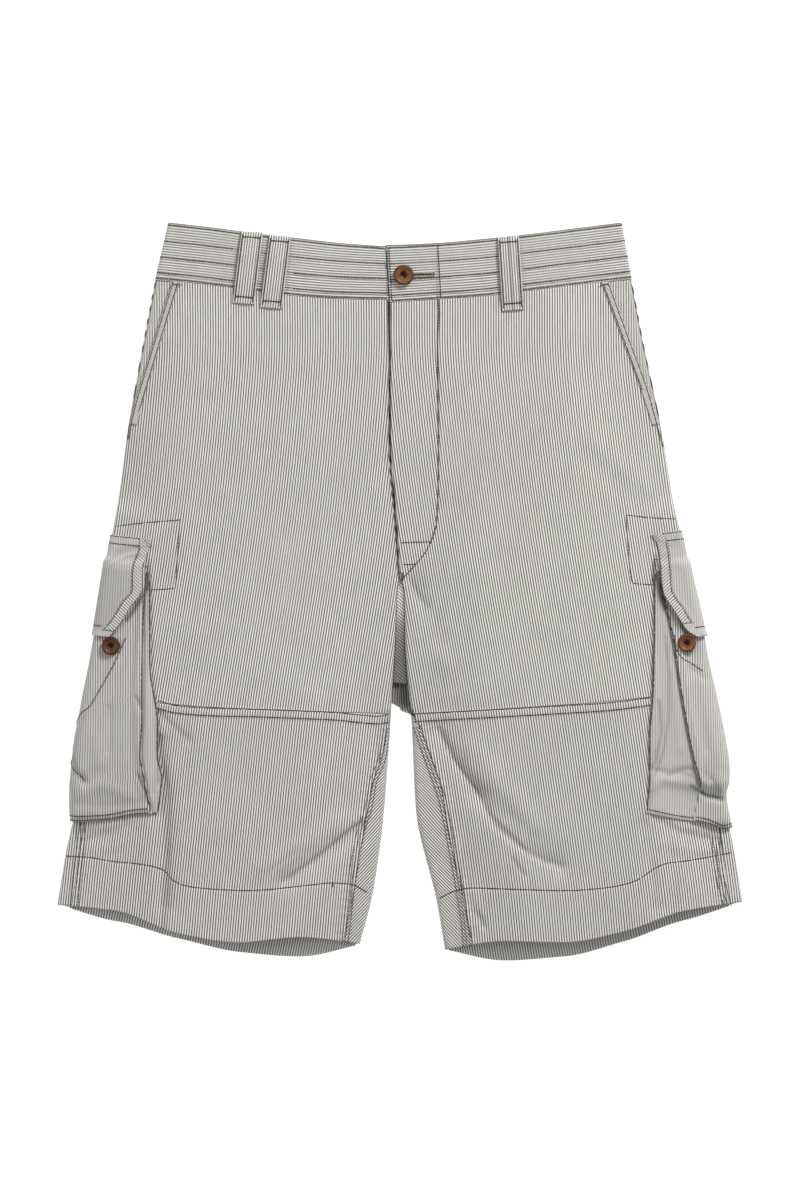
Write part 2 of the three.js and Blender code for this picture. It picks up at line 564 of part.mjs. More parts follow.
function addFlap(side, pocket) {
  const places = FLAP[side.name].map((p) => locate(side, p.front, p.y));
  const vs = places.map((p) => p.v);
  const front = curve(vs, places.map((p) => p.s));
  const [low, high] = [vs[0], vs[vs.length - 1]];
  const over = (v, s) => {
    const bag = pocket.lift(Math.min(v, pocket.span.high), Math.min(s, pocket.front(v)));
    const onBag = 1 - smooth((v - pocket.span.high - 1.5) / 8);
    return mix(LAYER, Math.max(bag, 1.9) + LAYER + 0.4, onBag);
  };
  const lift = (v, s) => (s < 0 ? mix(over(v, 0), UNDER_LIFT, smooth(-s / 8)) : over(v, s));
  const rear = (v) => pocket.rear(Math.min(v, pocket.span.high)) - 1;
  // The binding is sewn along the front edge and takes the place of the flap's outermost strip
  const bindingLow = steps(low, high, 40).find((v) => front(v) > BINDING_FROM);
  const binding = (v) => FLAP_BINDING * Math.hypot(1, (front(v + 1) - front(v - 1)) / 2);
  const upper = [...steps(bindingLow, pocket.span.high - 2, 4), ...steps(pocket.span.high + 2, high, 3)];
  upper[0] += SEAM;
  const rows = [low, bindingLow - SEAM, ...upper];
  const columns = (v) => sideColumns(rear(v), front(v) - (v > bindingLow ? binding(v) + SEAM : 0));
  addPiece(`flap_${side.name}`, skinWall(side, rows, columns, lift, CLOTH), COLOUR.cloth);
  const edge = (v) => steps(front(v) - binding(v) + SEAM, front(v), 3);
  const proud = (v, s) => lift(v, s) + 0.5;
  addPiece(`flap_binding_${side.name}`, skinWall(side, upper, edge, proud, CLOTH), COLOUR.dark);
}

function addLoop(loop) {
  const side = loop.top.x < 0 ? LEFT : RIGHT;
  const bow = curve(LOOP_BOW.map((p) => p[0]), LOOP_BOW.map((p) => p[1]));
  const outer = [];
  const inner = [];
  for (const u of [0, 0.1, 0.22, 0.36, 0.5, 0.64, 0.78, 0.86, 0.93, 1]) {
    const outerRow = [];
    const innerRow = [];
    for (const across of [-0.5, 0, 0.5]) {
      const x = mix(loop.top.x, loop.end.x, u) + across * LOOP_WIDTH;
      const y = mix(loop.top.y, loop.end.y, u) + across * side.sign * LOOP_WIDTH * 0.08;
      const place = locate(side, Math.abs(x), y);
      const { point, normal } = skin(side, place.v, place.s);
      outerRow.push(point.clone().addScaledVector(normal, bow(u)));
      innerRow.push(point.clone().addScaledVector(normal, bow(u) - LOOP_CLOTH));
    }
    outer.push(outerRow);
    inner.push(innerRow);
  }
  addPiece(loop.name, wallGeometry(outer, inner), COLOUR.band);
}

function addButton(button) {
  const side = button.over === 'band' || button.x > 0 ? RIGHT : LEFT;
  const place = locate(side, Math.abs(button.x), button.y);
  const { point, normal } = skin(side, place.v, place.s);
  const rest = button.over === 'band' ? 0 : pocketCurves(side).lift(place.v, place.s);
  const radius = button.width / 2;
  const profile = [[0, -BUTTON_SHANK], [2.2, -BUTTON_SHANK], [2.2, 0], [radius * 0.85, 0], [radius, 1],
    [radius, BUTTON_THICK - 0.7], [radius * 0.86, BUTTON_THICK], [radius * 0.6, 1.7], [0, 1.6]];
  const geometry = new THREE.LatheGeometry(profile.map(([r, z]) => new THREE.Vector2(r, z)), BUTTON_SIDES);
  const mesh = addPiece(button.name, geometry, COLOUR.button, 0.4);
  mesh.quaternion.setFromUnitVectors(new THREE.Vector3(0, 1, 0), normal);
  mesh.position.copy(point).addScaledVector(normal, rest + 0.4 + BUTTON_SHANK);
}

for (const side of SIDES) {
  addFront(side);
  addBack(side);
  addWaistband(side);
  addCargoPocket(side);
}
addGusset();
LOOPS.forEach(addLoop);
BUTTONS.forEach(addButton);

// Origin at the middle of the footprint, on the floor
group.updateMatrixWorld(true);
const box = new THREE.Box3().setFromObject(group, true);
group.position.set(-(box.min.x + box.max.x) / 2, -(box.min.y + box.max.y) / 2, -box.min.z);
group.updateMatrixWorld(true);

export default group;
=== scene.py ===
"""Cargo shorts lying flat, front side up: striped cotton cloth, stitching, pockets and buttons."""
import math

import bpy
import numpy as np
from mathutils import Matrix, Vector


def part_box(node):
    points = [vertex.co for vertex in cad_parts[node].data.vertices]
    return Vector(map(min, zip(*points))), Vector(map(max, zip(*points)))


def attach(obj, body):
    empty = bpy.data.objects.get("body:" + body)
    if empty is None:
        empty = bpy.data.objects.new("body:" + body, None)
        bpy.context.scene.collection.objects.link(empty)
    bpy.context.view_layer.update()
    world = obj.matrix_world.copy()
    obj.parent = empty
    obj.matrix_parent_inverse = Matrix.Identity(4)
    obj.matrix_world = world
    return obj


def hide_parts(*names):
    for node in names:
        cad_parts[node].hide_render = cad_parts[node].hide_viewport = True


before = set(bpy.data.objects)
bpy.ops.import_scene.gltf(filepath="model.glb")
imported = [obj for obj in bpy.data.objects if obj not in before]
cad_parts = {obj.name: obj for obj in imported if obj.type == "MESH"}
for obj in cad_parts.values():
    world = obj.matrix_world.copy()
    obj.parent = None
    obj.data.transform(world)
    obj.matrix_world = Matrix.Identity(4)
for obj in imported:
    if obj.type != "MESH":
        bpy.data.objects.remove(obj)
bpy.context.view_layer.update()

# Cloth and seams, millimetres
MM = 0.001
CLOTH = 1.2
BAND_CLOTH = 2.0
SEAM = 0.15
CENTRE_SEAM = 0.03
SIDE_FOLD = 3.5
LAP_RISE = 1.0
LAP_WIDTH = 34.0
UNDER_LIFT = 3.7
LAYER = CLOTH + 0.35
CLOTH_WIDE = 0.5708
QUARTER = math.pi / 2 * SIDE_FOLD

# Named heights along v, millimetres above the hem line
HEM = 18.0
KNEE = 226.0
FORK = {"left": (236.5, 238.5), "right": (222, 234)}
FORK_SAG = {"left": 7.0, "right": 2.5}
GUSSET_LOW = 254.0
GUSSET_TIP = 349.0
LAP_END = 352.0
WAIST_SEAM = 600.0
WAIST_TOP = 651.0
DROP_FADE = 110.0
# Highest point of the waist along y, which is laid on the highest point of the solids
TOP_Y = 664.2

# Sections from hem to waist: height, distances of the outer and inner edge from the centre
# line, heights at six even places between them, swell, height and roll of the inner edge,
# and how far the outseam and the inseam lie on the front
COLUMNS = ("v", "outer", "inner", "y0", "y1", "y2", "y3", "y4", "y5",
           "crown", "inner_high", "roll", "outseam", "inseam")
SECTIONS = {
    "left": [
        (18, 308.7, 36.0, 49.5, 44.1, 24.3, 16.2, 20.7, 14.4, 10.5, 9, 4.5, 15, 18),
        (66, 301.5, 24.3, 93.6, 89.1, 72.9, 63.0, 66.6, 60.3, 11.0, 9, 4.5, 14, 20),
        (132, 291.6, 14.4, 143.1, 140.4, 134.1, 130.5, 131.4, 133.2, 11.5, 9, 4.5, 7, 18),
        (226, 281.7, 8.1, 237.6, 232.2, 227.7, 225.0, 223.2, 221.4, 11.5, 9, 4.5, 1, 1.5),
        (244, 279.0, 7.2, 255.6, 250.2, 245.7, 243.0, 241.2, 239.4, 10.5, 9.8, 4.5, 0, 0),
        (290, 271.8, 4.5, 302.4, 297.0, 291.6, 288.9, 287.1, 285.3, 7.5, 11.5, 3.6, 0, 0),
        (338, 264.6, 2.7, 351.0, 345.6, 340.2, 336.6, 334.8, 333.0, 5.0, 13, 1.5, 0, 0),
        (352, 262.5, 0.9, 364.5, 359.1, 353.7, 350.1, 348.3, 346.5, 4.5, 13.5, 0, 0, 0),
        (398, 254.0, 3.6, 412.2, 406.8, 400.5, 396.9, 394.2, 392.4, 3.5, 14, 0, 0, 0),
        (469, 244.4, 9.0, 482.4, 477.0, 471.6, 468.0, 465.3, 463.5, 2.8, 14, 0, 0, 0),
        (540, 232.0, 9.0, 553.5, 548.1, 542.7, 539.1, 536.4, 534.6, 1.5, 12, 0, 0, 0),
        (600, 220.5, 9.9, 612.9, 608.4, 603.0, 597.6, 594.9, 594.0, 0.8, 10, 0, 0, 0),
        (651, 208.8, 12.6, 664.2, 659.7, 654.3, 649.8, 645.3, 642.6, 0.5, 10, 0, 0, 0),
    ],
    "right": [
        (18, 308.7, 40.5, 52.2, 44.1, 26.1, 16.2, 17.1, 9.0, 10.5, 9, 4.5, 15, 28),
        (66, 301.5, 32.4, 97.2, 90.0, 74.7, 63.0, 64.8, 55.8, 11.0, 9, 4.5, 13, 26),
        (132, 291.6, 14.4, 144.0, 141.3, 134.1, 130.5, 131.4, 133.2, 11.5, 9, 4.5, 8, 29),
        (226, 279.0, 9.9, 243.0, 236.7, 231.3, 227.7, 224.1, 221.4, 11.5, 9, 4.5, 1, 5),
        (244, 276.3, 8.1, 259.2, 252.9, 247.5, 243.9, 241.2, 237.6, 10.5, 9.8, 4.5, 0, 0),
        (290, 269.1, 4.5, 304.2, 298.8, 293.4, 289.8, 287.1, 285.3, 7.5, 11.5, 3.6, 0, 0),
        (338, 259.0, 3.6, 352.8, 347.4, 342.0, 337.5, 334.8, 333.0, 5.0, 13, 1.5, 0, 0),
        (352, 256.8, -0.9, 366.3, 360.9, 355.5, 351.0, 348.3, 346.5, 4.5, 13.5, 0, 0, 0),
        (398, 246.0, -3.6, 414.0, 407.7, 401.4, 397.8, 394.2, 392.4, 3.5, 14, 0, 0, 0),
        (469, 235.0, -9.0, 482.4, 477.0, 471.6, 468.0, 465.3, 463.5, 2.8, 14, 0, 0, 0),
        (540, 220.0, -9.0, 553.5, 548.1, 542.7, 539.1, 536.4, 534.6, 1.5, 12, 0, 0, 0),
        (600, 208.8, -9.9, 613.8, 608.4, 603.0, 597.6, 594.5, 591.5, 0.8, 10, 0, 0, 0),
        (651, 199.8, -12.6, 664.2, 658.8, 653.4, 648.9, 645.3, 643.5, 0.5, 10, 0, 0, 0),
    ],
}
BACK_DROP = {"left": [0, 9.9, 5.4, 9.4, 18, 0.9], "right": [0, 9, 9.9, 13.5, 18, 0]}
PLACES = [0, 0.2, 0.4, 0.6, 0.8, 1]

# Large creases, as in the solids: points along the crease, depth (below 0 a trough) and width
CREASES = [
    ([(-38, 116), (-104, 71)], -2.6, 9),
    ([(-52, 124), (-120, 84)], 1.8, 10),
    ([(36, 206), (72, 150)], -2.4, 9),
    ([(72, 150), (144, 84)], -2.6, 10),
    ([(62, 190), (120, 118)], 2.0, 12),
    ([(-212, 50), (-214, 196)], -2.4, 7),
    ([(231, 48), (222, 120)], -2.2, 7),
    ([(10, 344), (34, 286)], -1.8, 9),
]
# Finer creases and dents
FINE_CREASES = [
    ([(-217, 200), (-216, 184), (-210.5, 160), (-209, 125), (-209.5, 100), (-211, 60), (-212, 20)],
     -1.7, 3.2),
    ([(-203, 180), (-200, 120), (-202, 60)], 0.8, 7),
    ([(-216, 222), (-207, 213), (-189, 197)], -1.3, 3),
    ([(-35, 124), (-73.5, 92.5), (-105, 70)], -1.3, 2.2),
    ([(-32, 132), (-70, 101), (-98, 80)], 0.7, 4),
    ([(-91, 99.5), (-119, 78.5)], -0.8, 2.5),
    ([(35, 207), (47, 183), (56.5, 169), (72, 150), (84.5, 122), (106, 103), (128, 91), (144, 84)],
     -1.8, 2.6),
    ([(42, 207), (56, 183), (80, 152), (93, 127), (114, 110), (137, 98)], 0.9, 5),
    ([(101.5, 91), (112, 76.5)], -1.4, 2.0),
    ([(67, 60), (73, 42)], 0.9, 4),
    ([(70, 41), (75, 30)], -1.5, 3),
    ([(9, 342), (16, 329), (26, 316)], -1.3, 2.4),
    ([(18, 318), (30, 290), (44, 262)], 1.1, 7),
    ([(222, 150), (226, 110), (232, 75), (236, 40), (236, 18)], 1.2, 6),
    ([(244, 100), (249, 62), (250, 20)], -1.0, 5),
    ([(227, 129), (252, 115), (284, 108)], -1.3, 3.6),
    ([(238, 104), (262, 99), (284, 98)], 0.8, 5),
    ([(-284, 108), (-262, 114), (-246, 121)], -0.9, 4),
    ([(-286, 98), (-250, 103)], 0.6, 5),
    ([(117, 265), (117, 245)], -0.4, 2.4),
    ([(171, 468), (198, 446), (225, 423)], 0.9, 9),
    ([(166, 452), (192, 430), (214, 410)], -0.7, 8),
    ([(-172, 500), (-178, 440), (-176, 380)], -0.6, 12),
    ([(-150, 560), (-140, 470), (-146, 380)], 0.4, 14),
    ([(-90, 540), (-82, 430), (-90, 340)], -0.3, 16),
    ([(120, 560), (118, 450), (128, 340)], -0.4, 15),
    ([(70, 520), (64, 420), (76, 330)], 0.4, 14),
    ([(-120, 300), (-80, 260)], -0.4, 12),
    ([(100, 320), (140, 270)], -0.4, 12),
    ([(-150, 190), (-120, 130)], -0.4, 10),
    ([(160, 190), (180, 130)], -0.4, 10),
    ([(60, 592), (52, 560)], -0.4, 6),
    ([(-60, 590), (-66, 556)], -0.4, 6),
    ([(-150, 596), (-160, 560)], 0.4, 7),
    ([(150, 596), (150, 560)], 0.4, 7),
    ([(-12, 590), (-14, 520), (-13, 450), (-7, 400), (-4, 352)], -0.9, 3.5),
]
# Painted shade, where seams and deep folds darken the cloth, and broad painted shade where less light falls:
# line, share of light taken off, width
SHADES = [
    ([(-9.9, 598), (-9, 540), (-9, 469), (-3.6, 398), (-0.9, 352), (0, 343)], 0.62, 1.5),
    ([(-226, 360), (-224, 324), (-223.5, 261), (-219.5, 234), (-217, 218), (-217, 184.5),
      (-215.5, 160)], 0.3, 1.6),
    ([(-216, 176), (-210, 125), (-209.5, 95), (-212, 50), (-213, 22)], 0.26, 2.6),
    ([(-232, 122), (-226, 60), (-228, 24)], 0.06, 13),
    ([(-204, 160), (-201, 60)], 0.07, 9),
    ([(229.5, 364.5), (228.5, 344), (227.5, 310.5), (226, 236.5), (223, 207), (223, 133)], 0.34, 1.4),
    ([(34.5, 598), (35, 582.5), (33.8, 554.5), (34.4, 520), (34.5, 470)], 0.55, 1.1),
    ([(34.5, 470), (34, 411.5), (32.5, 391.5), (28, 377)], 0.36, 1.1),
    ([(37, 204), (47, 183)], 0.16, 2.6),
    ([(47, 183), (67.5, 155), (81, 131.5), (101.7, 112.5), (115, 97)], 0.36, 1.7),
    ([(115, 97), (135, 87.5)], 0.2, 1.8),
    ([(101.5, 91), (112, 76.5)], 0.2, 1.5),
    ([(-35, 124), (-73.5, 92.5), (-100, 73)], 0.14, 2.2),
    ([(-213, 219), (-207, 213), (-191, 199)], 0.12, 5.5),
    ([(-191, 199), (-186, 180), (-190, 150)], 0.05, 9),
    ([(-6, 222), (-12, 132), (-22, 66), (-34, 16)], 0.3, 9),
    ([(8, 222), (12, 132), (28, 66), (38, 14)], 0.24, 11),
    ([(-150, 520), (150, 520)], 0.035, 110),
    ([(-238, 560), (-252, 440), (-270, 330)], 0.07, 36),
    ([(-290, 124), (-291, 104)], 0.35, 5),
    ([(-296, 88), (-303, 48)], 0.28, 7),
    ([(289, 112), (293, 92)], 0.25, 4),
    ([(297, 84), (304, 50)], 0.2, 4),
    ([(232, 126), (256, 114), (286, 108)], 0.12, 4),
    ([(-288, 108), (-250, 118)], 0.1, 5),
    ([(10, 341), (16, 330), (24, 318)], 0.2, 2.2),
    ([(-189, 290), (-186, 262)], 0.05, 14),
    ([(248, 70), (250, 20)], 0.08, 5),
]
# Painted shade on the waistband: under the fly's lap edge, along the J line's seam and in the buttonhole's
# slit: line, share of light taken off, width
BAND_SHADES = [
    ([(-11.7, 652), (-11.4, 620), (-10.6, 598)], 0.4, 1.2),
    ([(33.5, 648), (34, 598)], 0.3, 1.0),
    ([(10.5, 616.4), (29, 617.2)], 0.45, 0.9),
]
# How far the warp leans outwards, degrees, at heights above the hem line
LEAN_AT = (0, 40, 75, 150, 215, 252, 297, 342, 387, 430, 475, 520, 567, 640)
LEAN = {
    "left": (5.4, 5.4, 6.5, 6.5, 7.5, 9.8, 9.8, 9.2, 8.3, 7, 6, 5, -0.5, -1),
    "right": (5.4, 5.4, 8, 9, 8.8, 10, 10.8, 10, 9.2, 8.2, 7.2, 6.5, 0, 0.5),
}

# Seams on the front that stand up between their rows of stitches: middle line, half width, rise
KNEE_BAND = {
    "left": [(-218.5, 230.5), (-201.5, 226), (-170, 223.5), (-128.5, 222.5), (-90, 221), (-57.5, 219.5),
             (-34, 217), (-19, 216), (-10.5, 217.5)],
    "right": [(12.5, 218), (38.5, 219.5), (144, 225.5), (185.5, 228), (226, 233)],
}
INSEAM_LINE = {
    "left": [(-13, 209), (-17.5, 182.5), (-26, 160), (-29.5, 139.5), (-38, 111.5),
             (-44, 78.5), (-49.5, 30.5), (-51.5, 14)],
    "right": [(16.5, 211), (20, 201.5), (25, 187), (31.5, 169), (38, 150.5),
              (42.5, 132.5), (48.5, 101.5), (55, 65.5), (60.5, 29.5), (62, 12)],
}
OUTSEAM_LINE = {
    "left": [(-289, 124), (-289, 108), (-292, 79), (-295, 46)],
    "right": [(286, 110.5), (286.5, 95), (290.5, 71), (296.5, 48)],
}
HEM_LINE = {
    "left": [(-300.5, 93.5), (-281, 92.5), (-258.5, 89), (-236.5, 87), (-221.5, 84.5), (-212.5, 81),
             (-206, 74), (-193.5, 67.5), (-171, 64.5), (-138.5, 63), (-117, 64), (-83.5, 67.5),
             (-62, 69.5), (-45, 68.5), (-29.5, 61)],
    "right": [(36, 56), (51.5, 63), (64, 65), (106, 64), (148.5, 63), (181, 65), (201.5, 68.5),
              (214, 73), (229.5, 83), (240.5, 87.5), (254.5, 89), (276.5, 92.5), (298, 96.5)],
}
FLY_J = [(34, 598), (35, 582.5), (33.5, 554.5), (34, 520), (34.5, 451), (34, 411.5), (32.5, 391.5),
         (28, 377), (22.5, 366.5), (14.5, 356.5), (6.5, 347.5), (0.5, 341.5)]
POCKET_PATCH = {
    "left": [(-224, 333), (-202.5, 335), (-200, 365.5), (-198, 396), (-229.5, 393.5), (-255.5, 390.5)],
    "right": [(228.5, 337.5), (209.5, 339.5), (205, 374.5), (203.5, 400.5), (227, 398), (248, 397)],
}

# Opening edge of the slanted side pockets
MOUTH = {
    "left": [(205.2, 611.1), (225, 546.3), (240.3, 495), (245.7, 468)],
    "right": [(188.1, 610.2), (206.1, 561.6), (223.2, 514.8), (238, 461.7)],
}
MOUTH_END = 455.0
FACING_UNDER = 12.0
MOUTH_STRIP = 6.5
STRIP_HIGH = 1.1
THIN_CLOTH = 1.0

# Cargo pockets, a row per height: height, front edge of the bag, where its gusset meets the
# leg, how far the bag's edge stands off the leg, how far it bulges at the side
POCKET_COLUMNS = ("y", "front", "gusset", "high", "side")
POCKET = {
    "left": [
        (131, 222, 217, 1.9, 2.2), (146, 225, 215, 5, 6), (163, 227.7, 213, 7, 8),
        (184.5, 230.8, 216.9, 8, 8), (218, 229.5, 216.9, 8, 5.4), (261, 229.9, 223.5, 6.5, 3),
        (290, 229.5, 224, 5, 2.4), (331, 228.6, 224.1, 3, 2), (352, 226.5, 223.5, 1.8, 1.8),
    ],
    "right": [
        (126, 262, 222.3, 2.4, 2.9), (152, 268, 222.8, 4, 3), (164, 268.2, 223.2, 8, 8),
        (178, 263.7, 223.2, 10, 9.5), (207, 257.4, 223.2, 10, 8), (243, 251.1, 225.9, 8.5, 5),
        (272, 247.5, 226.8, 7, 3.4), (307, 241.2, 227.7, 5, 2.6), (331, 234.9, 228, 3, 2.2),
        (352, 232, 228.4, 1.8, 1.8),
    ],
}
POCKET_REAR = (-70.0, -96.0)
REAR_STEP = (248.0, 268.0)
# Lower edge of the pocket from the side of the leg inwards: distance from the centre line, y
POCKET_FOOT = {
    "left": [(291, 124.5), (263, 126), (240.5, 130), (219, 131.5)],
    "right": [(291, 118.5), (276.5, 123), (247.5, 127), (223, 132)],
}
FOOT_FADE = 55.0
# Folds of the pocket bags: x, y points, height, width
BAG_FOLDS = {
    "left": [
        ([(-232, 330), (-235, 270), (-234, 200), (-229, 150)], 0.8, 2.2),
        ([(-239, 320), (-241, 260), (-240, 190), (-236, 150)], -1.0, 3.5),
        ([(-254, 268), (-264, 240), (-274, 205), (-270, 178)], 1.6, 7),
        ([(-261, 226), (-260, 206), (-262, 188)], -1.3, 3),
        ([(-296, 186), (-290, 170), (-283, 160)], -2.6, 3),
        ([(-288, 150), (-268, 158), (-246, 150)], 1.2, 6),
        ([(-292, 140), (-262, 138), (-230, 142)], -0.8, 4),
        ([(-236, 236), (-231, 226)], -1.0, 2),
        ([(-234, 166), (-228, 150), (-224, 138)], -1.3, 2),
    ],
    "right": [
        ([(247, 330), (253, 280), (260, 230), (268, 184), (270, 162)], 0.9, 2.4),
        ([(254, 320), (261, 280), (268, 235), (275, 190)], -1.0, 4.5),
        ([(268, 250), (278, 215), (286, 190)], 1.2, 8),
        ([(262, 262), (272, 254), (281, 250)], -1.0, 3),
        ([(260, 158), (268, 153), (276, 148), (292, 144)], -3.0, 2.6),
        ([(266, 164), (276, 158), (291, 155)], 1.8, 4),
        ([(280, 162), (287, 155), (294, 153)], -1.6, 2),
        ([(287, 172), (291, 164), (298, 167)], -1.8, 2.4),
    ],
}
GUSSET_FOLDS = {
    "left": [([(-222, 330), (-222.5, 250), (-220, 190), (-222, 150)], -1.0, 2.0),
             ([(-227, 300), (-226, 240), (-225, 180)], 0.5, 1.6)],
    "right": [
        ([(238, 290), (241.5, 255), (241, 215), (236, 185), (229, 166)], -1.0, 1.5),
        ([(243, 262), (248, 225), (250, 190)], 0.8, 4),
        ([(229, 270), (231, 225), (230, 185), (227, 162)], 0.8, 2.2),
        ([(232, 232), (235, 200), (231, 176)], -1.3, 2.0),
        ([(224, 172), (232, 170), (242, 167), (252, 170), (264, 172)], -1.7, 3),
        ([(226, 156), (236, 163), (250, 160), (266, 156)], 1.6, 5),
        ([(270, 146), (280, 140), (290, 140)], -0.8, 3),
    ],
}
# Painted shade on the cargo pockets: under the flaps, along the edges and seams of the bags and gussets, in
# their folds, and broad over the left bag: line, share of light taken off, width
POCKET_SHADES = {
    "left": [
        ([(-229.5, 331), (-230, 261), (-230, 223), (-231.5, 184.5), (-228, 163), (-223, 138)], 0.4, 0.9),
        ([(-222.5, 330), (-221.5, 262), (-218, 218), (-217, 160)], 0.3, 1.0),
        ([(-226, 350), (-227, 337), (-232.5, 325.5), (-241, 313), (-246, 306)], 0.62, 2.6),
        ([(-264, 320), (-270, 240), (-274, 150)], 0.07, 34),
        ([(-252, 305), (-262, 292)], 0.4, 4),
        ([(-296, 186), (-290, 171), (-284, 161)], 0.35, 2.2),
        ([(-246.5, 290), (-257.5, 265.5), (-275.5, 234), (-284, 219.5), (-290, 200), (-294, 182)], 0.18, 1.8),
        ([(-236, 236), (-231, 226)], 0.3, 1.8),
        ([(-234, 166), (-228, 150), (-224, 138)], 0.35, 2),
        ([(-291, 126), (-263, 128), (-240, 132), (-222, 135)], 0.2, 2.5),
    ],
    "right": [
        ([(235, 331), (241, 307), (247.5, 272), (251, 243), (257.5, 207), (263.5, 178), (268, 158)],
         0.5, 0.9),
        ([(228, 340), (226.5, 236), (224, 207), (224, 133)], 0.3, 0.9),
        ([(229, 364), (231, 345), (234, 330), (239, 316)], 0.75, 3.4),
        ([(239, 316), (250, 301), (262, 290)], 0.5, 3.4),
        ([(262, 157), (268, 153), (276, 148), (290, 145)], 0.6, 1.8),
        ([(282, 158), (288, 152)], 0.5, 2.5),
        ([(239, 285), (241.3, 255), (241, 215), (236, 185), (229, 166)], 0.3, 1.1),
        ([(233, 232), (234.5, 205), (230, 178)], 0.3, 1.4),
        ([(230, 190), (226, 168), (225, 140)], 0.2, 1.2),
        ([(264, 166), (252, 169.5), (240, 167)], 0.2, 1.6),
        ([(223, 134), (247, 128), (276, 125), (291, 120)], 0.15, 2.5),
    ],
}

FLAP = {
    "left": [(290.7, 262), (301.5, 252.9), (316.8, 243), (331.2, 233.1), (351.9, 232.2),
             (370.8, 225.9), (379, 225)],
    "right": [(290.5, 268.5), (297, 258.3), (313.2, 247.5), (331.2, 236.7), (351.9, 234.9),
              (372.6, 232.2), (383.4, 226.5)],
}
FLAP_BINDING = 9.0
BINDING_FROM = 17.0
FLAP_STANDS = 1.6
FLAP_FOLDS = {
    "left": [([(-234, 366.5), (-243, 365), (-254, 361), (-262, 355), (-268, 346)], 1.3, 2.1),
             ([(-236, 370.5), (-246, 369), (-257, 365)], -1.1, 2.2)],
    "right": [([(240, 366), (258, 352)], 0.6, 5)],
}

# Painted shade on the flaps: along the left flap's fold, broad over the left flap, and along the right flap's
# top: line, share of light taken off, width
FLAP_SHADES = {
    "left": [([(-235, 369.5), (-246, 368), (-256, 364), (-264, 357)], 0.2, 1.6),
             ([(-262, 350), (-268, 300)], 0.17, 44)],
    "right": [([(236, 372), (262, 376)], 0.08, 2.0)],
}

# Belt loops: name, middle of the top end and of the lower end
LOOPS = [
    ("belt_loop_left_outer", (-133.2, 655.2), (-141, 590.5)),
    ("belt_loop_left_inner", (-108, 651.7), (-116.2, 586.5)),
    ("belt_loop_right", (97.2, 651.2), (101.6, 584.5)),
]
LOOP_WIDTH = 19.5
LOOP_CLOTH = 1.3
LOOP_SLANT = 0.08
LOOP_BOW = ((0, 1.7), (0.1, 2.6), (0.35, 3.6), (0.65, 3.6), (0.86, 2.6), (0.93, 1.9), (1, 1.7))

BUTTONS = [
    ("waist_button", 3.1, 616.5, 18.0, "band"),
    ("pocket_button_left", -260, 282.8, 16.5, "pocket"),
    ("pocket_button_right", 258, 285.5, 16.5, "pocket"),
]
BUTTON_THICK = 3.2
BUTTON_SHANK = 1.0

# Rows of stitches round the waistband, parts of its height from the top
BAND_ROWS = (0.045, 0.33, 0.61, 0.88, 0.975)
# Where the rows stop, from and to along x
LOOP_GAPS = [(-150, -97), (88, 111)]
BUTTON_GAP = (0, 36)
# Buttonhole: its ends along x, its height at the left end, and how far it rises to the right
HOLE_FROM, HOLE_TO = 11.5, 30.0
HOLE_Y = 616.6
HOLE_RISE = 0.7
# Painted shade on the gusset between the legs, darkest low down, and painted light at its top where the share
# is below 0: height, share of light taken off
GUSSET_SHADE = [(254, 0.62), (272, 0.6), (290, 0.5), (303, 0.3), (311, -0.05), (330, -0.3), (349, -0.3)]
# Painted shade deep in the crotch, on the back cloth seen between the legs: line, share of light taken off,
# width
CROTCH_SHADE = ([(-1, 262), (2, 232)], 0.84, 12)

# Look of the cloth
STRIPE_PITCH = 2.3
KNEE_SHIFT = 1.1
THREAD = 0.42
STITCH = 2.4
STITCH_GAP = 0.25


def clamp(a, low=0.0, high=1.0):
    return np.minimum(high, np.maximum(low, a))


def smooth(a):
    t = clamp(a)
    return t * t * (3 - 2 * t)


def mix(a, b, t):
    return a + (b - a) * t


def steps(a, b, n):
    return list(np.linspace(a, b, n + 1))


def curve(xs, ys):
    """Smooth curve through the points that never overshoots them."""
    xs, ys = np.asarray(xs, float), np.asarray(ys, float)
    slope = np.diff(ys) / np.diff(xs)
    tangent = np.empty_like(ys)
    tangent[0], tangent[-1] = slope[0], slope[-1]
    a, b = slope[:-1], slope[1:]
    same = a * b > 0
    tangent[1:-1] = np.where(same, 2 * a * b / np.where(same, a + b, 1), 0)

    def at(x):
        x = np.clip(x, xs[0], xs[-1])
        i = np.clip(np.searchsorted(xs, x, side="right") - 1, 0, len(xs) - 2)
        width = xs[i + 1] - xs[i]
        t = (x - xs[i]) / width
        return ((2 * t**3 - 3 * t**2 + 1) * ys[i] + (t**3 - 2 * t**2 + t) * width * tangent[i]
                + (3 * t**2 - 2 * t**3) * ys[i + 1] + (t**3 - t**2) * width * tangent[i + 1])

    return at


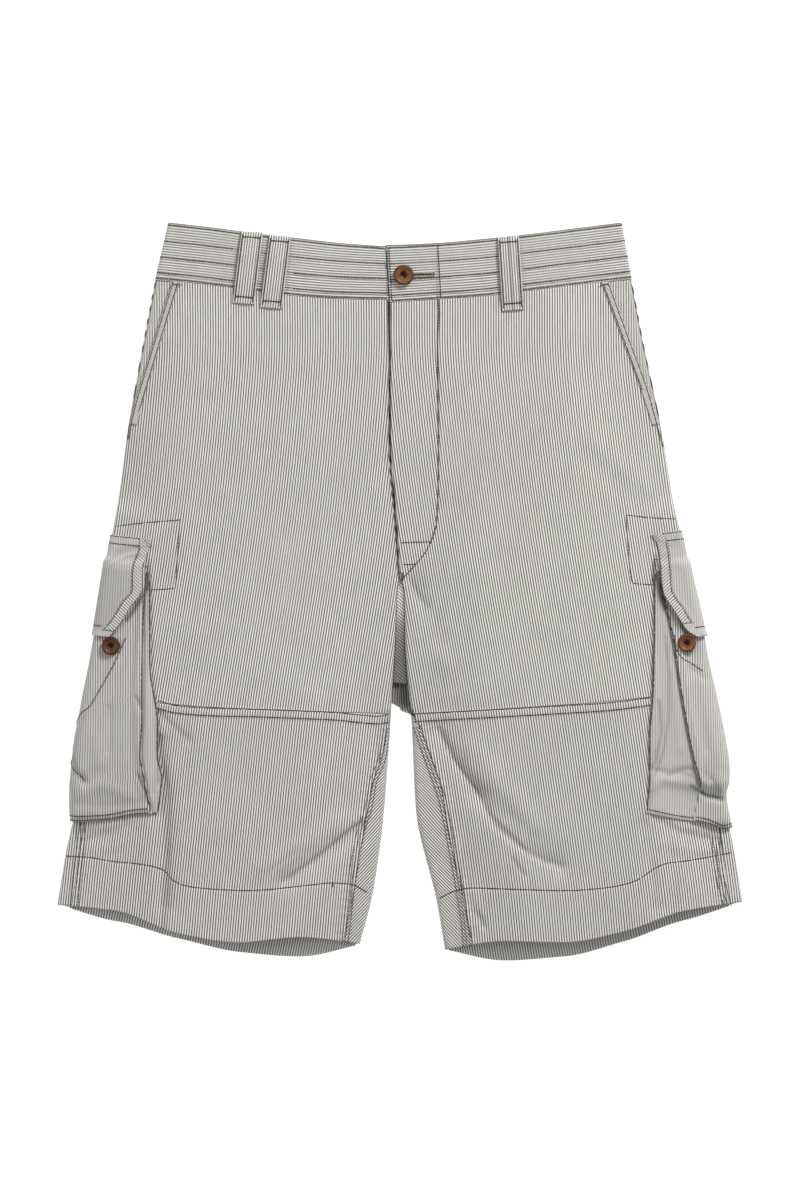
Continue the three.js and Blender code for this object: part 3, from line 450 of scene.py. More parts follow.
class Side:
    """One half of the shorts: a curve along v for every column of its sections."""

    def __init__(self, name, sign):
        self.name, self.sign = name, sign
        rows = np.array(SECTIONS[name], float)
        for i, column in enumerate(COLUMNS[1:], start=1):
            values = rows[:, i] - (rows[:, 0] if column[0] == "y" else 0)
            setattr(self, column, curve(rows[:, 0], values))
        self.drop = curve(PLACES, BACK_DROP[name])
        self.outline = [getattr(self, f"y{k}") for k in range(6)]
        self.lean_at = np.arange(-30.0, 690.0)
        self.lean = np.cumsum(np.tan(np.radians(np.interp(self.lean_at, LEAN_AT, LEAN[name]))))

    def width(self, v):
        return self.outer(v) - self.inner(v)

    def unrolled(self, v):
        return self.width(v) + CLOTH_WIDE * (SIDE_FOLD + self.roll(v))

    def line_height(self, v, t):
        """Height of the section's line at the part t of the way to its inner edge."""
        k = np.stack([y(v) for y in self.outline])
        slope = np.diff(k, axis=0) / 0.2
        tangent = np.empty_like(k)
        tangent[0], tangent[-1] = slope[0], slope[-1]
        a, b = slope[:-1], slope[1:]
        same = a * b > 0
        tangent[1:-1] = np.where(same, 2 * a * b / np.where(same, a + b, 1), 0)
        t = clamp(t)
        i = np.clip(np.floor(t / 0.2).astype(int), 0, 4)
        u = t / 0.2 - i
        pick = lambda table, j: np.take_along_axis(table, j[None], axis=0)[0]
        return v + ((2 * u**3 - 3 * u**2 + 1) * pick(k, i)
                    + (u**3 - 2 * u**2 + u) * 0.2 * pick(tangent, i)
                    + (3 * u**2 - 2 * u**3) * pick(k, i + 1)
                    + (u**3 - u**2) * 0.2 * pick(tangent, i + 1))

    def locate(self, x, y):
        """v and s of the skin at x (signed, from the centre line) and y."""
        x, y = np.asarray(x, float) * self.sign, np.asarray(y, float)
        v = y.copy()
        for _ in range(14):
            t = (self.outer(v) - x) / self.width(v)
            v = v + y - self.line_height(v, t)
        return v, self.outer(v) - x + CLOTH_WIDE * SIDE_FOLD


LEFT, RIGHT = Side("left", -1), Side("right", 1)
SIDES = (LEFT, RIGHT)


def under_lift(v, back):
    along = smooth((v - 94) / 18) * (1 - smooth((v - 384) / 22))
    return UNDER_LIFT * along * (1 - smooth((back - 104) / 22))


def path_distance(x, y, points):
    """Distance to a line of points, the length along it, and how far past its ends."""
    best = np.full(np.shape(x), 1e9)
    along = np.zeros(np.shape(x))
    past = np.zeros(np.shape(x))
    start = 0.0
    for i, ((x1, y1), (x2, y2)) in enumerate(zip(points[:-1], points[1:])):
        dx, dy = x2 - x1, y2 - y1
        length = math.hypot(dx, dy)
        t = ((x - x1) * dx + (y - y1) * dy) / length
        inside = clamp(t, 0, length)
        distance = np.hypot(x - x1 - dx / length * inside, y - y1 - dy / length * inside)
        nearer = distance < best
        best = np.where(nearer, distance, best)
        along = np.where(nearer, start + inside, along)
        end = np.zeros(np.shape(x))
        if i == 0:
            end = np.maximum(end, -t)
        if i == len(points) - 2:
            end = np.maximum(end, t - length)
        past = np.where(nearer, end, past)
        start += length
    return best, along, past


def crease_height(x, y, creases):
    height = np.zeros(np.shape(x))
    for points, depth, wide in creases:
        distance, _, _ = path_distance(x, y, points)
        height += depth * np.exp(-((distance / wide) ** 2))
    return height


def skin_point(side, v, s, creased=True):
    """Point of the shared skin: s runs along the cloth from the outermost line of the side."""
    v, s = np.broadcast_arrays(np.asarray(v, float), np.asarray(s, float))
    roll = side.roll(v)
    safe_roll = np.maximum(roll, 0.05)
    inner_quarter = math.pi / 2 * roll
    unrolled, width = side.unrolled(v), side.width(v)
    lift = under_lift(v, np.maximum(0, -s))
    top_lift = under_lift(v, np.zeros_like(s)) * (1 - smooth(s / 45))
    bottom, fold = s < -QUARTER, np.abs(s) <= QUARTER
    across = np.where(bottom, -s - CLOTH_WIDE * SIDE_FOLD, s - CLOTH_WIDE * SIDE_FOLD)
    across = np.where(fold, SIDE_FOLD * (1 - np.cos(s / SIDE_FOLD)), across)
    z = np.where(bottom, lift, 2 * SIDE_FOLD + top_lift)
    z = np.where(fold, SIDE_FOLD * (1 + np.sin(s / SIDE_FOLD))
                 + mix(lift, top_lift, smooth(0.5 + s / QUARTER / 2)), z)
    under = np.where(bottom, smooth((-s - QUARTER) / 12), 0)
    past = s > unrolled + inner_quarter
    curl = (s > unrolled - inner_quarter) & ~past & (roll > 0.05)
    top = (s > QUARTER) & ~past & ~curl
    t = across / width
    swell = smooth(np.minimum(1, np.minimum(t, 1 - t) / 0.3))
    lap = LAP_RISE * (1 - smooth((width - across) / LAP_WIDTH)) * smooth((v - LAP_END + 8) / 8)
    if side is LEFT:
        lap = 0 * lap
    z = np.where(top, z + (side.inner_high(v) - 2 * SIDE_FOLD) * smooth(t / 0.45)
                 + side.crown(v) * swell + lap, z)
    angle = (unrolled - s) / safe_roll
    across = np.where(curl, width - roll * (1 - np.cos(angle)), across)
    z = np.where(curl, side.inner_high(v) - roll * (1 - np.sin(angle)), z)
    across = np.where(past, width - (s - unrolled - CLOTH_WIDE * roll), across)
    z = np.where(past, 0, z)
    under = np.where(past, smooth((s - unrolled - inner_quarter) / 12), under)
    x = side.sign * (side.outer(v) - across)
    t = clamp(across / width)
    fade = 1 - smooth((v - HEM) / DROP_FADE)
    y = side.line_height(v, t) - under * fade * side.drop(t)
    if creased:
        edge = smooth(np.minimum(s - QUARTER, unrolled - inner_quarter - s) / 12)
        z = z + np.where(top, crease_height(x, y, CREASES) * edge, 0)
    return np.stack([x, y, z], axis=-1)


def skin(side, v, s, creased=True):
    step = 0.2
    point = skin_point(side, v, s, creased)
    along = skin_point(side, v + step, s, creased) - skin_point(side, v - step, s, creased)
    over = skin_point(side, v, s + step, creased) - skin_point(side, v, s - step, creased)
    normal = -side.sign * np.cross(over, along)
    return point, normal / np.linalg.norm(normal, axis=-1, keepdims=True)


def wobble(a, seed):
    """Slow uneven wave from minus one to one, the same on every run."""
    return (np.sin(a * 1.0 + seed) + 0.6 * np.sin(a * 1.73 + 2.1 * seed)
            + 0.4 * np.sin(a * 2.91 + 3.7 * seed)) / 2


class Band:
    """A sewn seam: a low ridge between rows of stitches, with puckers across it."""

    def __init__(self, points, half, rise, rows, pucker=0.22, seed=1.0, reach=6.0):
        self.points, self.half, self.rise, self.rows = points, half, rise, rows
        self.pucker, self.seed, self.reach = pucker, seed, reach

    def height(self, x, y):
        distance, along, past = path_distance(x, y, self.points)
        ends = 1 - smooth(past / 3)
        ridge = self.rise * (1 - smooth((distance - self.half) / 1.8))
        groove = 0
        for row in self.rows:
            groove = groove - 0.28 * np.exp(-(((distance - abs(row)) / 0.9) ** 2))
        ripple = self.pucker * wobble(along * 2 * math.pi / 7.5, self.seed) * np.exp(
            -((np.maximum(0, distance - self.half * 0.4) / self.reach) ** 2))
        return (ridge + groove + ripple) * ends


def hem_turn(side):
    """The turned-up hem is thicker below its row of stitches."""
    points = sorted(HEM_LINE[side.name])
    line = curve([p[0] for p in points], [p[1] for p in points])
    return lambda x, y: 0.55 * smooth((line(x) - y + 0.8) / 1.6)


# Sewn lines of the fronts: line, half width, rise, rows of stitches, pucker, seed, reach
SEWN_LINES = {
    "knee": (KNEE_BAND, 3.5, 0.65, (3.4,), 0.16, 0, 6.0),
    "inseam": (INSEAM_LINE, 4.5, 0.7, (0.3, 4.2), 0.34, 1, 7),
    "outseam": (OUTSEAM_LINE, 4.0, 0.7, (0.3, 3.8), 0.4, 2, 7),
    "hem": (HEM_LINE, 0.5, 0.0, (0.0,), 0.14, 3, 4),
    "patch": (POCKET_PATCH, 0.5, 0.0, (0.0,), 0.08, 4, 3),
}
SIDE_SEED = {"left": 1.0, "right": 2.3}


def flat_band(side, which):
    line, half, rise, rows, pucker, seed, reach = SEWN_LINES[which]
    return Band(line[side.name], half, rise, rows, pucker, SIDE_SEED[side.name] + seed, reach)


FLY_BAND = Band(FLY_J, 0.6, 0.0, (0.0,), 0.12, 4.0, 4)


class Cloth:
    """A piece of cloth on one side's skin: how high it lies and what is sewn into it."""

    def __init__(self, side, lift=0.0, reliefs=(), creased=False, fine=(), shades=(), sag=None):
        self.side, self.lift, self.reliefs = side, lift, reliefs
        self.creased, self.fine, self.shades = creased, fine, shades
        self.sag = sag or (lambda v, s: 0.0)

    def locate(self, x, y):
        """v and s of the cloth at x and y."""
        level, s = self.side.locate(x, y)
        v = level
        for _ in range(6):
            v = level - self.sag(v, s)
        return v, s

    def shade(self, point, s):
        """Painted shade: the share of light taken off in seams and deep folds."""
        x, y = point[..., 0], point[..., 1]
        dark = np.zeros(np.shape(x))
        for points, share, wide in self.shades:
            distance, _, past = path_distance(x, y, points)
            dark = np.maximum(dark, share * np.exp(-((distance / wide) ** 2)) * (1 - smooth(past / 6)))
        return dark * smooth((s + 2) / 3)

    def place(self, v, s, extra=0.0):
        v, s = np.broadcast_arrays(np.asarray(v, float), np.asarray(s, float))
        point, normal = skin(self.side, v + self.sag(v, s), s, self.creased)
        up = self.lift(v, s) if callable(self.lift) else self.lift
        x, y = point[..., 0], point[..., 1]
        front = smooth((s - 1) / 6) * smooth((self.side.unrolled(v) - s) / 4)
        relief = crease_height(x, y, self.fine) * front
        seams = (s > -1) * (0.15 + 0.85 * smooth((self.side.unrolled(v) - s - 1) / 7))
        for part in self.reliefs:
            relief = relief + (part.height(x, y) if isinstance(part, Band) else part(x, y)) * seams
        return point + normal * (up + relief + extra)[..., None], normal


frame_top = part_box("waistband_left")[1][1]
SHIFT = np.array([0.0, frame_top / MM - TOP_Y, 0.0])


def to_frame(points):
    return (np.asarray(points, float) + SHIFT) * MM


def add_mesh(name, vertices, faces, material, uvs=None, shade=None, inside=None):
    mesh = bpy.data.meshes.new(name)
    vertices = to_frame(vertices)
    faces = np.asarray(faces)
    mesh.vertices.add(len(vertices))
    mesh.vertices.foreach_set("co", vertices.astype(np.float32).ravel())
    mesh.loops.add(faces.size)
    mesh.loops.foreach_set("vertex_index", faces.ravel().astype(np.int32))
    mesh.polygons.add(len(faces))
    mesh.polygons.foreach_set("loop_start", np.arange(0, faces.size, faces.shape[1], dtype=np.int32))
    mesh.polygons.foreach_set("loop_total", np.full(len(faces), faces.shape[1], dtype=np.int32))
    mesh.update(calc_edges=True)
    mesh.validate()
    mesh.polygons.foreach_set("use_smooth", np.ones(len(mesh.polygons), dtype=bool))
    if uvs is not None:
        layer = mesh.uv_layers.new(name="cloth")
        layer.data.foreach_set("uv", np.asarray(uvs, np.float32)[faces.ravel()].ravel())
    if shade is not None:
        mesh.attributes.new("shade", "FLOAT", "POINT").data.foreach_set("value", shade.astype(np.float32))
    mesh.materials.append(material)
    if inside is not None:
        mesh.materials.append(INSIDE_LIT_LOOK)
        mesh.polygons.foreach_set("material_index", inside.astype(np.int32))
    piece = bpy.data.objects.new(name, mesh)
    bpy.context.scene.collection.objects.link(piece)
    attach(piece, "root")
    return piece


def grid_faces(rows, columns):
    """Faces of a closed shell made of an outer and an inner grid."""
    i, j = np.meshgrid(np.arange(rows - 1), np.arange(columns - 1), indexing="ij")
    a = (i * columns + j).ravel()
    outer = np.stack([a, a + 1, a + columns + 1, a + columns], axis=1)
    count = rows * columns
    inner = outer[:, ::-1] + count
    border = [k for k in range(columns)] + [k * columns + columns - 1 for k in range(1, rows)]
    border += [(rows - 1) * columns + k for k in range(columns - 2, -1, -1)]
    border += [k * columns for k in range(rows - 2, 0, -1)]
    b = np.array(border)
    n = np.roll(b, -1)
    rim = np.stack([n, b, b + count, n + count], axis=1)
    return np.concatenate([outer, inner, rim])


def shell(name, outer, normal, thick, uv, material, shade=None, floor_cut=False, lined=False):
    """Closed thin shell behind a grid of outer points."""
    rows, columns = outer.shape[:2]
    inner = outer - normal * thick
    if floor_cut:
        outer = outer.copy()
        outer[..., 2] = np.maximum(outer[..., 2], 0)
        inner[..., 2] = np.maximum(inner[..., 2], np.where(outer[..., 2] < thick, thick, 0))
    faces = grid_faces(rows, columns)
    quads = (rows - 1) * (columns - 1)
    inside = (np.arange(len(faces)) // quads == 1) if lined else None
    vertices = np.concatenate([outer.reshape(-1, 3), inner.reshape(-1, 3)])
    flat = uv.reshape(-1, 2)
    first = np.cross(outer[0, 1] - outer[0, 0], outer[1, 0] - outer[0, 0])
    if np.dot(first, normal[0, 0]) < 0:
        faces = faces[:, ::-1]
    dark = None if shade is None else np.broadcast_to(shade, (2, rows, columns)).ravel()
    return add_mesh(name, vertices, faces, material, np.concatenate([flat, flat]), dark, inside)


def flat_uv(side, v, s):
    """Cloth coordinates in millimetres: across the stripes, which lean, and up the front."""
    v, s = np.broadcast_arrays(v, s)
    across = side.outer(v) - s + CLOTH_WIDE * SIDE_FOLD
    height = side.line_height(v, clamp((s - CLOTH_WIDE * SIDE_FOLD) / side.width(v)))
    return np.stack([side.sign * (across + np.interp(height, side.lean_at, side.lean)), height], axis=-1)


def arc_uv(point):
    """Cloth coordinates with the true length along each row, from its last point back."""
    step = np.linalg.norm(np.diff(point, axis=1), axis=-1)
    length = np.concatenate([np.zeros((len(step), 1)), np.cumsum(step, axis=1)], axis=1)
    across = np.abs(point[:, -1:, 0]) + length[:, -1:] - length
    return np.stack([across, point[..., 1]], axis=-1)


def turned(uv, degrees=90.0, slide=0.0):
    a = math.radians(degrees)
    u, w = uv[..., 0], uv[..., 1]
    return np.stack([u * math.cos(a) + w * math.sin(a) + slide, w * math.cos(a) - u * math.sin(a)], axis=-1)


def skin_shell(name, cloth, vs, columns, thick, material, uv=None, floor_cut=False):
    """Shell of a piece of cloth over a grid of v rows, with the s of each column."""
    v = np.array(vs, float)[:, None]
    s = np.array([columns(a) for a in vs], float)
    v = np.broadcast_to(v, s.shape)
    point, normal = cloth.place(v, s)
    coordinates = flat_uv(cloth.side, v, s) if uv is None else uv(v, s, point)
    return shell(name, point, normal, thick, coordinates, material, cloth.shade(point, s), floor_cut)


def dense(a, b, step, spots=()):
    """Places from a to b, closer together near the spots (place, reach, fine step)."""
    places, here, way = [a], a, 1 if b > a else -1
    while (b - here) * way > 0:
        size = step
        for place, reach, fine in spots:
            near = abs(here - place) / reach
            size = min(size, fine + (step - fine) * min(1.0, max(0.0, near - 1) * 0.6))
        here += way * size
        places.append(here)
    scale = (b - a) / (places[-1] - a)
    return [a + (p - a) * scale for p in places]


# Materials

def node(tree, kind, **values):
    n = tree.nodes.new(kind)
    for key, value in values.items():
        setattr(n, key, value)
    return n


def math_node(tree, operation, a, b=None, clamped=False):
    n = node(tree, "ShaderNodeMath", operation=operation, use_clamp=clamped)
    for socket, value in zip(n.inputs, (a, b)):
        if value is None:
            continue
        if isinstance(value, (int, float)):
            socket.default_value = value
        else:
            tree.links.new(value, socket)
    return n.outputs[0]


def noise(tree, vector, scale, detail=2.0, roughness=0.5):
    n = node(tree, "ShaderNodeTexNoise")
    n.inputs["Scale"].default_value = scale
    n.inputs["Detail"].default_value = detail
    n.inputs["Roughness"].default_value = roughness
    tree.links.new(vector, n.inputs["Vector"])
    return n.outputs["Fac"]


def stretched(tree, u, v, su, sv, offset=0.0):
    n = node(tree, "ShaderNodeCombineXYZ")
    tree.links.new(math_node(tree, "MULTIPLY", u, su), n.inputs[0])
    tree.links.new(math_node(tree, "MULTIPLY", v, sv), n.inputs[1])
    n.inputs[2].default_value = offset
    return n.outputs[0]


def colour_mix(tree, factor, a, b, blend="MIX"):
    n = node(tree, "ShaderNodeMix", data_type="RGBA", blend_type=blend)
    for socket, value in ((n.inputs[0], factor), (n.inputs[6], a), (n.inputs[7], b)):
        if isinstance(value, tuple):
            socket.default_value = (*value, 1)
        elif isinstance(value, (int, float)):
            socket.default_value = value
        else:
            tree.links.new(value, socket)
    return n.outputs[2]


def new_material(name):
    material = bpy.data.materials.new(name)
    material.use_nodes = True
    material.node_tree.nodes.clear()
    tree = material.node_tree
    output = node(tree, "ShaderNodeOutputMaterial")
    shader = node(tree, "ShaderNodeBsdfPrincipled")
    tree.links.new(shader.outputs[0], output.inputs[0])
    return material, tree, shader


def striped_cloth(name, tone=1.0, contrast=1.0):
    """Fine woven stripes with a little of the yarn's unevenness and a plain weave, darkened by the painted
    shade in the mesh's shade attribute, and lightened where that share is below 0.
    """
    material, tree, shader = new_material(name)
    coordinate = node(tree, "ShaderNodeUVMap", uv_map="cloth")
    split = node(tree, "ShaderNodeSeparateXYZ")
    tree.links.new(coordinate.outputs[0], split.inputs[0])
    u, v = split.outputs[0], split.outputs[1]
    centred = lambda value, size: math_node(
        tree, "MULTIPLY", math_node(tree, "SUBTRACT", value, 0.5), size)
    drift = centred(noise(tree, stretched(tree, u, v, 0.06, 0.012), 1.0), 0.9)
    stripe_u = math_node(tree, "ADD", u, drift)
    wave = math_node(tree, "SINE", math_node(tree, "MULTIPLY", stripe_u, 2 * math.pi / STRIPE_PITCH))
    yarn = centred(noise(tree, stretched(tree, u, v, 1.4, 0.05, 3.0), 1.0, 3.0), 0.9)
    slub = centred(noise(tree, stretched(tree, u, v, 0.12, 1.3, 7.0), 1.0, 3.0), 0.4)
    weave = noise(tree, stretched(tree, u, v, 1.7, 1.7, 11.0), 1.0, 1.0)
    level = math_node(tree, "ADD", math_node(tree, "MULTIPLY", wave, 1.15),
                      math_node(tree, "ADD", yarn, slub))
    patchy = centred(noise(tree, stretched(tree, u, v, 0.011, 0.007, 9.0), 1.0, 2.0), contrast)
    strength = math_node(tree, "ADD", patchy, 0.5 * contrast)
    level = math_node(tree, "ADD", math_node(tree, "MULTIPLY", level, strength), 0.5, clamped=True)
    base = colour_mix(tree, level, DARK_STRIPE, LIGHT_STRIPE)
    patches = centred(noise(tree, stretched(tree, u, v, 0.025, 0.018, 5.0), 1.0, 3.0), 0.1)
    speck = centred(weave, 0.2)
    shade = math_node(tree, "ADD", math_node(tree, "ADD", patches, speck), tone)
    # Painted shade from the mesh's shade attribute: the share of light taken off; below 0 it is painted light
    painted_shade = node(tree, "ShaderNodeAttribute", attribute_name="shade")
    shade = math_node(tree, "MULTIPLY", shade, math_node(tree, "SUBTRACT", 1.0, painted_shade.outputs["Fac"]))
    scaled = node(tree, "ShaderNodeVectorMath", operation="SCALE")
    tree.links.new(base, scaled.inputs[0])
    tree.links.new(shade, scaled.inputs["Scale"])
    tree.links.new(scaled.outputs[0], shader.inputs["Base Color"])
    rough = math_node(tree, "ADD", math_node(tree, "MULTIPLY", weave, 0.12), 0.82)
    tree.links.new(rough, shader.inputs["Roughness"])
    shader.inputs["Specular IOR Level"].default_value = 0.2
    height = math_node(tree, "ADD", math_node(tree, "MULTIPLY", wave, 0.5), math_node(
        tree, "MULTIPLY", weave, 0.8))
    bump = node(tree, "ShaderNodeBump")
    bump.inputs["Strength"].default_value = 0.3
    bump.inputs["Distance"].default_value = 0.0002
    tree.links.new(height, bump.inputs["Height"])
    tree.links.new(bump.outputs[0], shader.inputs["Normal"])
    return material


def thread_material(name, dark, light):
    material, tree, shader = new_material(name)
    position = node(tree, "ShaderNodeTexCoord")
    fine = noise(tree, position.outputs["Object"], 900.0, 2.0)
    colour = colour_mix(tree, fine, dark, light)
    tree.links.new(colour, shader.inputs["Base Color"])
    shader.inputs["Roughness"].default_value = 0.8
    shader.inputs["Specular IOR Level"].default_value = 0.1
    return material


def button_material(name, dark, light):
    """Mottled brown horn-like plastic, with painted shade round its holes and in its dished middle, and
    painted shade over the top and outer side of its rim.
    """
    material, tree, shader = new_material(name)
    position = node(tree, "ShaderNodeTexCoord")
    mottle = noise(tree, position.outputs["Object"], 170.0, 4.0, 0.6)
    streak = noise(tree, position.outputs["Object"], 700.0, 2.0)
    ramp = node(tree, "ShaderNodeValToRGB")
    for element, place, colour in zip(ramp.color_ramp.elements, (0.3, 0.7), (dark, light)):
        element.position = place
        element.color = (*colour, 1)
    tree.links.new(math_node(tree, "ADD", math_node(tree, "MULTIPLY", mottle, 0.8),
                             math_node(tree, "MULTIPLY", streak, 0.2)), ramp.inputs[0])
    coordinate = node(tree, "ShaderNodeUVMap", uv_map="cloth")
    split = node(tree, "ShaderNodeSeparateXYZ")
    tree.links.new(coordinate.outputs[0], split.inputs[0])
    # Painted shade by the distance from the middle: dark round the uncut holes and in the dish, full colour on
    # the inner slope of the rim, darker over its top and outer side
    rings = node(tree, "ShaderNodeValToRGB")
    places = ((0.14, 0.05), (0.34, 0.3), (0.48, 0.9), (0.74, 1.0), (0.86, 0.7), (0.97, 0.25))
    while len(rings.color_ramp.elements) < len(places):
        rings.color_ramp.elements.new(0.5)
    for element, (place, value) in zip(rings.color_ramp.elements, places):
        element.position = place
        element.color = (value, value, value, 1)
    tree.links.new(split.outputs[0], rings.inputs[0])
    tree.links.new(colour_mix(tree, 1.0, ramp.outputs[0], rings.outputs[0], "MULTIPLY"),
                   shader.inputs["Base Color"])
    shader.inputs["Roughness"].default_value = 0.4
    shader.inputs["Specular IOR Level"].default_value = 0.28
    bump = node(tree, "ShaderNodeBump")
    bump.inputs["Strength"].default_value = 0.15
    bump.inputs["Distance"].default_value = 0.0002
    tree.links.new(streak, bump.inputs["Height"])
    tree.links.new(bump.outputs[0], shader.inputs["Normal"])
    return material


DARK_STRIPE = (0.14, 0.134, 0.124)
LIGHT_STRIPE = (0.83, 0.808, 0.768)
CLOTH_LOOK = striped_cloth("striped_cloth", 0.99, 1.45)
POCKET_LOOK = striped_cloth("striped_cloth_pocket", 0.965, 0.7)
BAND_LOOK = striped_cloth("striped_cloth_turned", 0.95, 0.72)
LOOP_LOOK = striped_cloth("striped_cloth_loop", 0.94, 1.1)
SOFT_LOOK = striped_cloth("striped_cloth_soft", 1.0, 0.28)
# A lighter copy of the striped cloth for the inner faces, which lie mostly in shade: painted light that lifts
# their shade
INSIDE_LIT_LOOK = striped_cloth("striped_cloth_inside_lit", 1.2, 1.0)
THREAD_LOOK = thread_material("thread", (0.045, 0.036, 0.028), (0.11, 0.09, 0.072))
BUTTON_THREAD = thread_material("thread_brown", (0.012, 0.007, 0.004), (0.05, 0.028, 0.015))
PALE_THREAD = thread_material("thread_pale", (0.42, 0.36, 0.28), (0.68, 0.62, 0.52))
BUTTON_LOOK = button_material("button_horn", (0.085, 0.027, 0.006), (0.31, 0.118, 0.034))
# A darker copy of the button material for the left pocket button: painted shade for that side's weaker light
SHADED_BUTTON_LOOK = button_material("button_horn_shaded", (0.05, 0.014, 0.003), (0.18, 0.062, 0.018))


# Stitches

def resample(points, spacing=0.6):
    """Even points along a smooth line through the given ones."""
    p = np.asarray(points, float)
    length = np.concatenate([[0], np.cumsum(np.hypot(*np.diff(p, axis=0).T))])
    fine = np.linspace(0, length[-1], max(2, int(length[-1] / spacing)))
    return np.stack([curve(length, p[:, 0])(fine), curve(length, p[:, 1])(fine)], axis=1)


def offset_line(points, distance):
    p = resample(points)
    tangent = np.gradient(p, axis=0)
    tangent /= np.linalg.norm(tangent, axis=1, keepdims=True)
    return p + distance * np.stack([-tangent[:, 1], tangent[:, 0]], axis=1)


def stitches_on(points, normals, raise_by=0.2, stitch=STITCH, gap=STITCH_GAP, radius=THREAD, seed=1.0):
    """Thread stitches along a line of surface points: vertices and faces."""
    step = np.linalg.norm(np.diff(points, axis=0), axis=1)
    length = np.concatenate([[0], np.cumsum(step)])
    count = max(1, int(length[-1] / (stitch + gap)))
    pitch = length[-1] / count
    start = np.arange(count) * pitch
    start = start + 0.12 * pitch * wobble(np.arange(count) * 1.3, seed)
    part = np.linspace(0, 1, 4)
    at = start[:, None] + part[None] * (pitch - gap)
    take = lambda values: np.stack([np.interp(at, length, values[:, k]) for k in range(3)], axis=-1)
    middle, normal = take(points), take(normals)
    normal /= np.linalg.norm(normal, axis=-1, keepdims=True)
    along = take(np.gradient(points, axis=0))
    along /= np.linalg.norm(along, axis=-1, keepdims=True)
    side = np.cross(along, normal)
    rise = np.array([-0.3, 0.14, 0.14, -0.3]) + raise_by
    middle = middle + normal * rise[None, :, None]
    angles = np.linspace(0, 2 * math.pi, 5)[:-1]
    ring = radius * (np.cos(angles)[None, None, :, None] * side[:, :, None]
                     + np.sin(angles)[None, None, :, None] * normal[:, :, None])
    vertices = (middle[:, :, None] + ring).reshape(-1, 3)
    faces = []
    for i in range(3):
        for j in range(4):
            k = (j + 1) % 4
            faces.append((i * 4 + j, i * 4 + k, (i + 1) * 4 + k, (i + 1) * 4 + j))
    faces = np.array(faces)
    every = (faces[None] + (np.arange(count) * 16)[:, None, None]).reshape(-1, 4)
    return vertices, every


class StitchWork:
    """Collects rows of stitches that are joined into one mesh."""

    def __init__(self, name):
        self.name, self.vertices, self.faces, self.count = name, [], [], 0

    def add(self, vertices, faces):
        self.vertices.append(vertices)
        self.faces.append(faces + self.count)
        self.count += len(vertices)

    def row(self, cloth, line, offset=0.0, **options):
        p = offset_line(line, offset) if offset else resample(line)
        v, s = cloth.locate(p[:, 0], p[:, 1])
        point, normal = cloth.place(v, s)
        self.add(*stitches_on(point, normal, **options))

    def along(self, cloth, v, s, **options):
        point, normal = cloth.place(np.asarray(v, float), np.asarray(s, float))
        self.add(*stitches_on(point, normal, **options))

    def bartack(self, cloth, a, b, width=1.3, pace=0.35):
        """Zigzag that fastens the end of a seam."""
        p = np.linspace(a, b, max(6, int(math.dist(a, b) / pace)))
        d = (np.array(b) - np.array(a)) / math.dist(a, b)
        zig = np.where(np.arange(len(p)) % 2 == 0, 0.5, -0.5) * width
        p = p + zig[:, None] * np.array([-d[1], d[0]])
        v, s = cloth.locate(p[:, 0], p[:, 1])
        point, normal = cloth.place(v, s)
        self.add(*stitches_on(point, normal, stitch=1.2, gap=0.02, radius=0.3, raise_by=0.3))

    def finish(self, look=None):
        vertices, faces = np.concatenate(self.vertices), np.concatenate(self.faces)
        piece = add_mesh(self.name, vertices, faces, look or THREAD_LOOK)
        return piece


# Front

def mouth_edge(side):
    places = []
    for x, y in MOUTH[side.name]:
        v, s = side.locate(np.array([side.sign * x]), np.array([float(y)]))
        places.append((v[0], s[0]))
    places = [(MOUTH_END, 0.0)] + sorted(places)
    return curve([p[0] for p in places], [p[1] for p in places])


def front_edge(side, mouth, v):
    edge = float(side.outseam(v))
    return max(edge, float(mouth(v))) if v > MOUTH_END else edge


def fill_columns(count):
    """Parts of the way across a panel, closer together at its two edges."""
    u = np.linspace(0, 1, count)
    return u - 0.06 * np.sin(2 * math.pi * u)


def panel_columns(side, edge, count):
    parts = fill_columns(count)

    def at(v):
        start = edge(v) + SEAM
        end = float(side.unrolled(v) - side.inseam(v)) - SEAM
        return start + parts * (end - start)

    return at


mouths = {side.name: mouth_edge(side) for side in SIDES}
fronts_low, fronts_high = {}, {}
for side in SIDES:
    shared = [flat_band(side, "knee"), flat_band(side, "inseam"), flat_band(side, "outseam")]
    fronts_low[side.name] = Cloth(side, 0.0, shared + [flat_band(side, "hem"), hem_turn(side)], True,
                                  FINE_CREASES, SHADES)
    reliefs = [shared[0], shared[1], flat_band(side, "patch")] + ([FLY_BAND] if side is RIGHT else [])
    fronts_high[side.name] = Cloth(side, 0.0, reliefs, True, FINE_CREASES, SHADES)


def declare(wide, long):
    """Takes a piece's cut size, wide by long millimetres, and turns it into metres, with wide at least 10.5
    mm; nothing is done with them and no area is worked out from the cut. The area is half of the built
    mesh's own surface and isn't worked out from the cut, so a test that compares the two can't fail. Where
    that area doesn't fit, wide and long are enlarged.
    """
    wide, long = max(wide, 10.5) * MM, long * MM


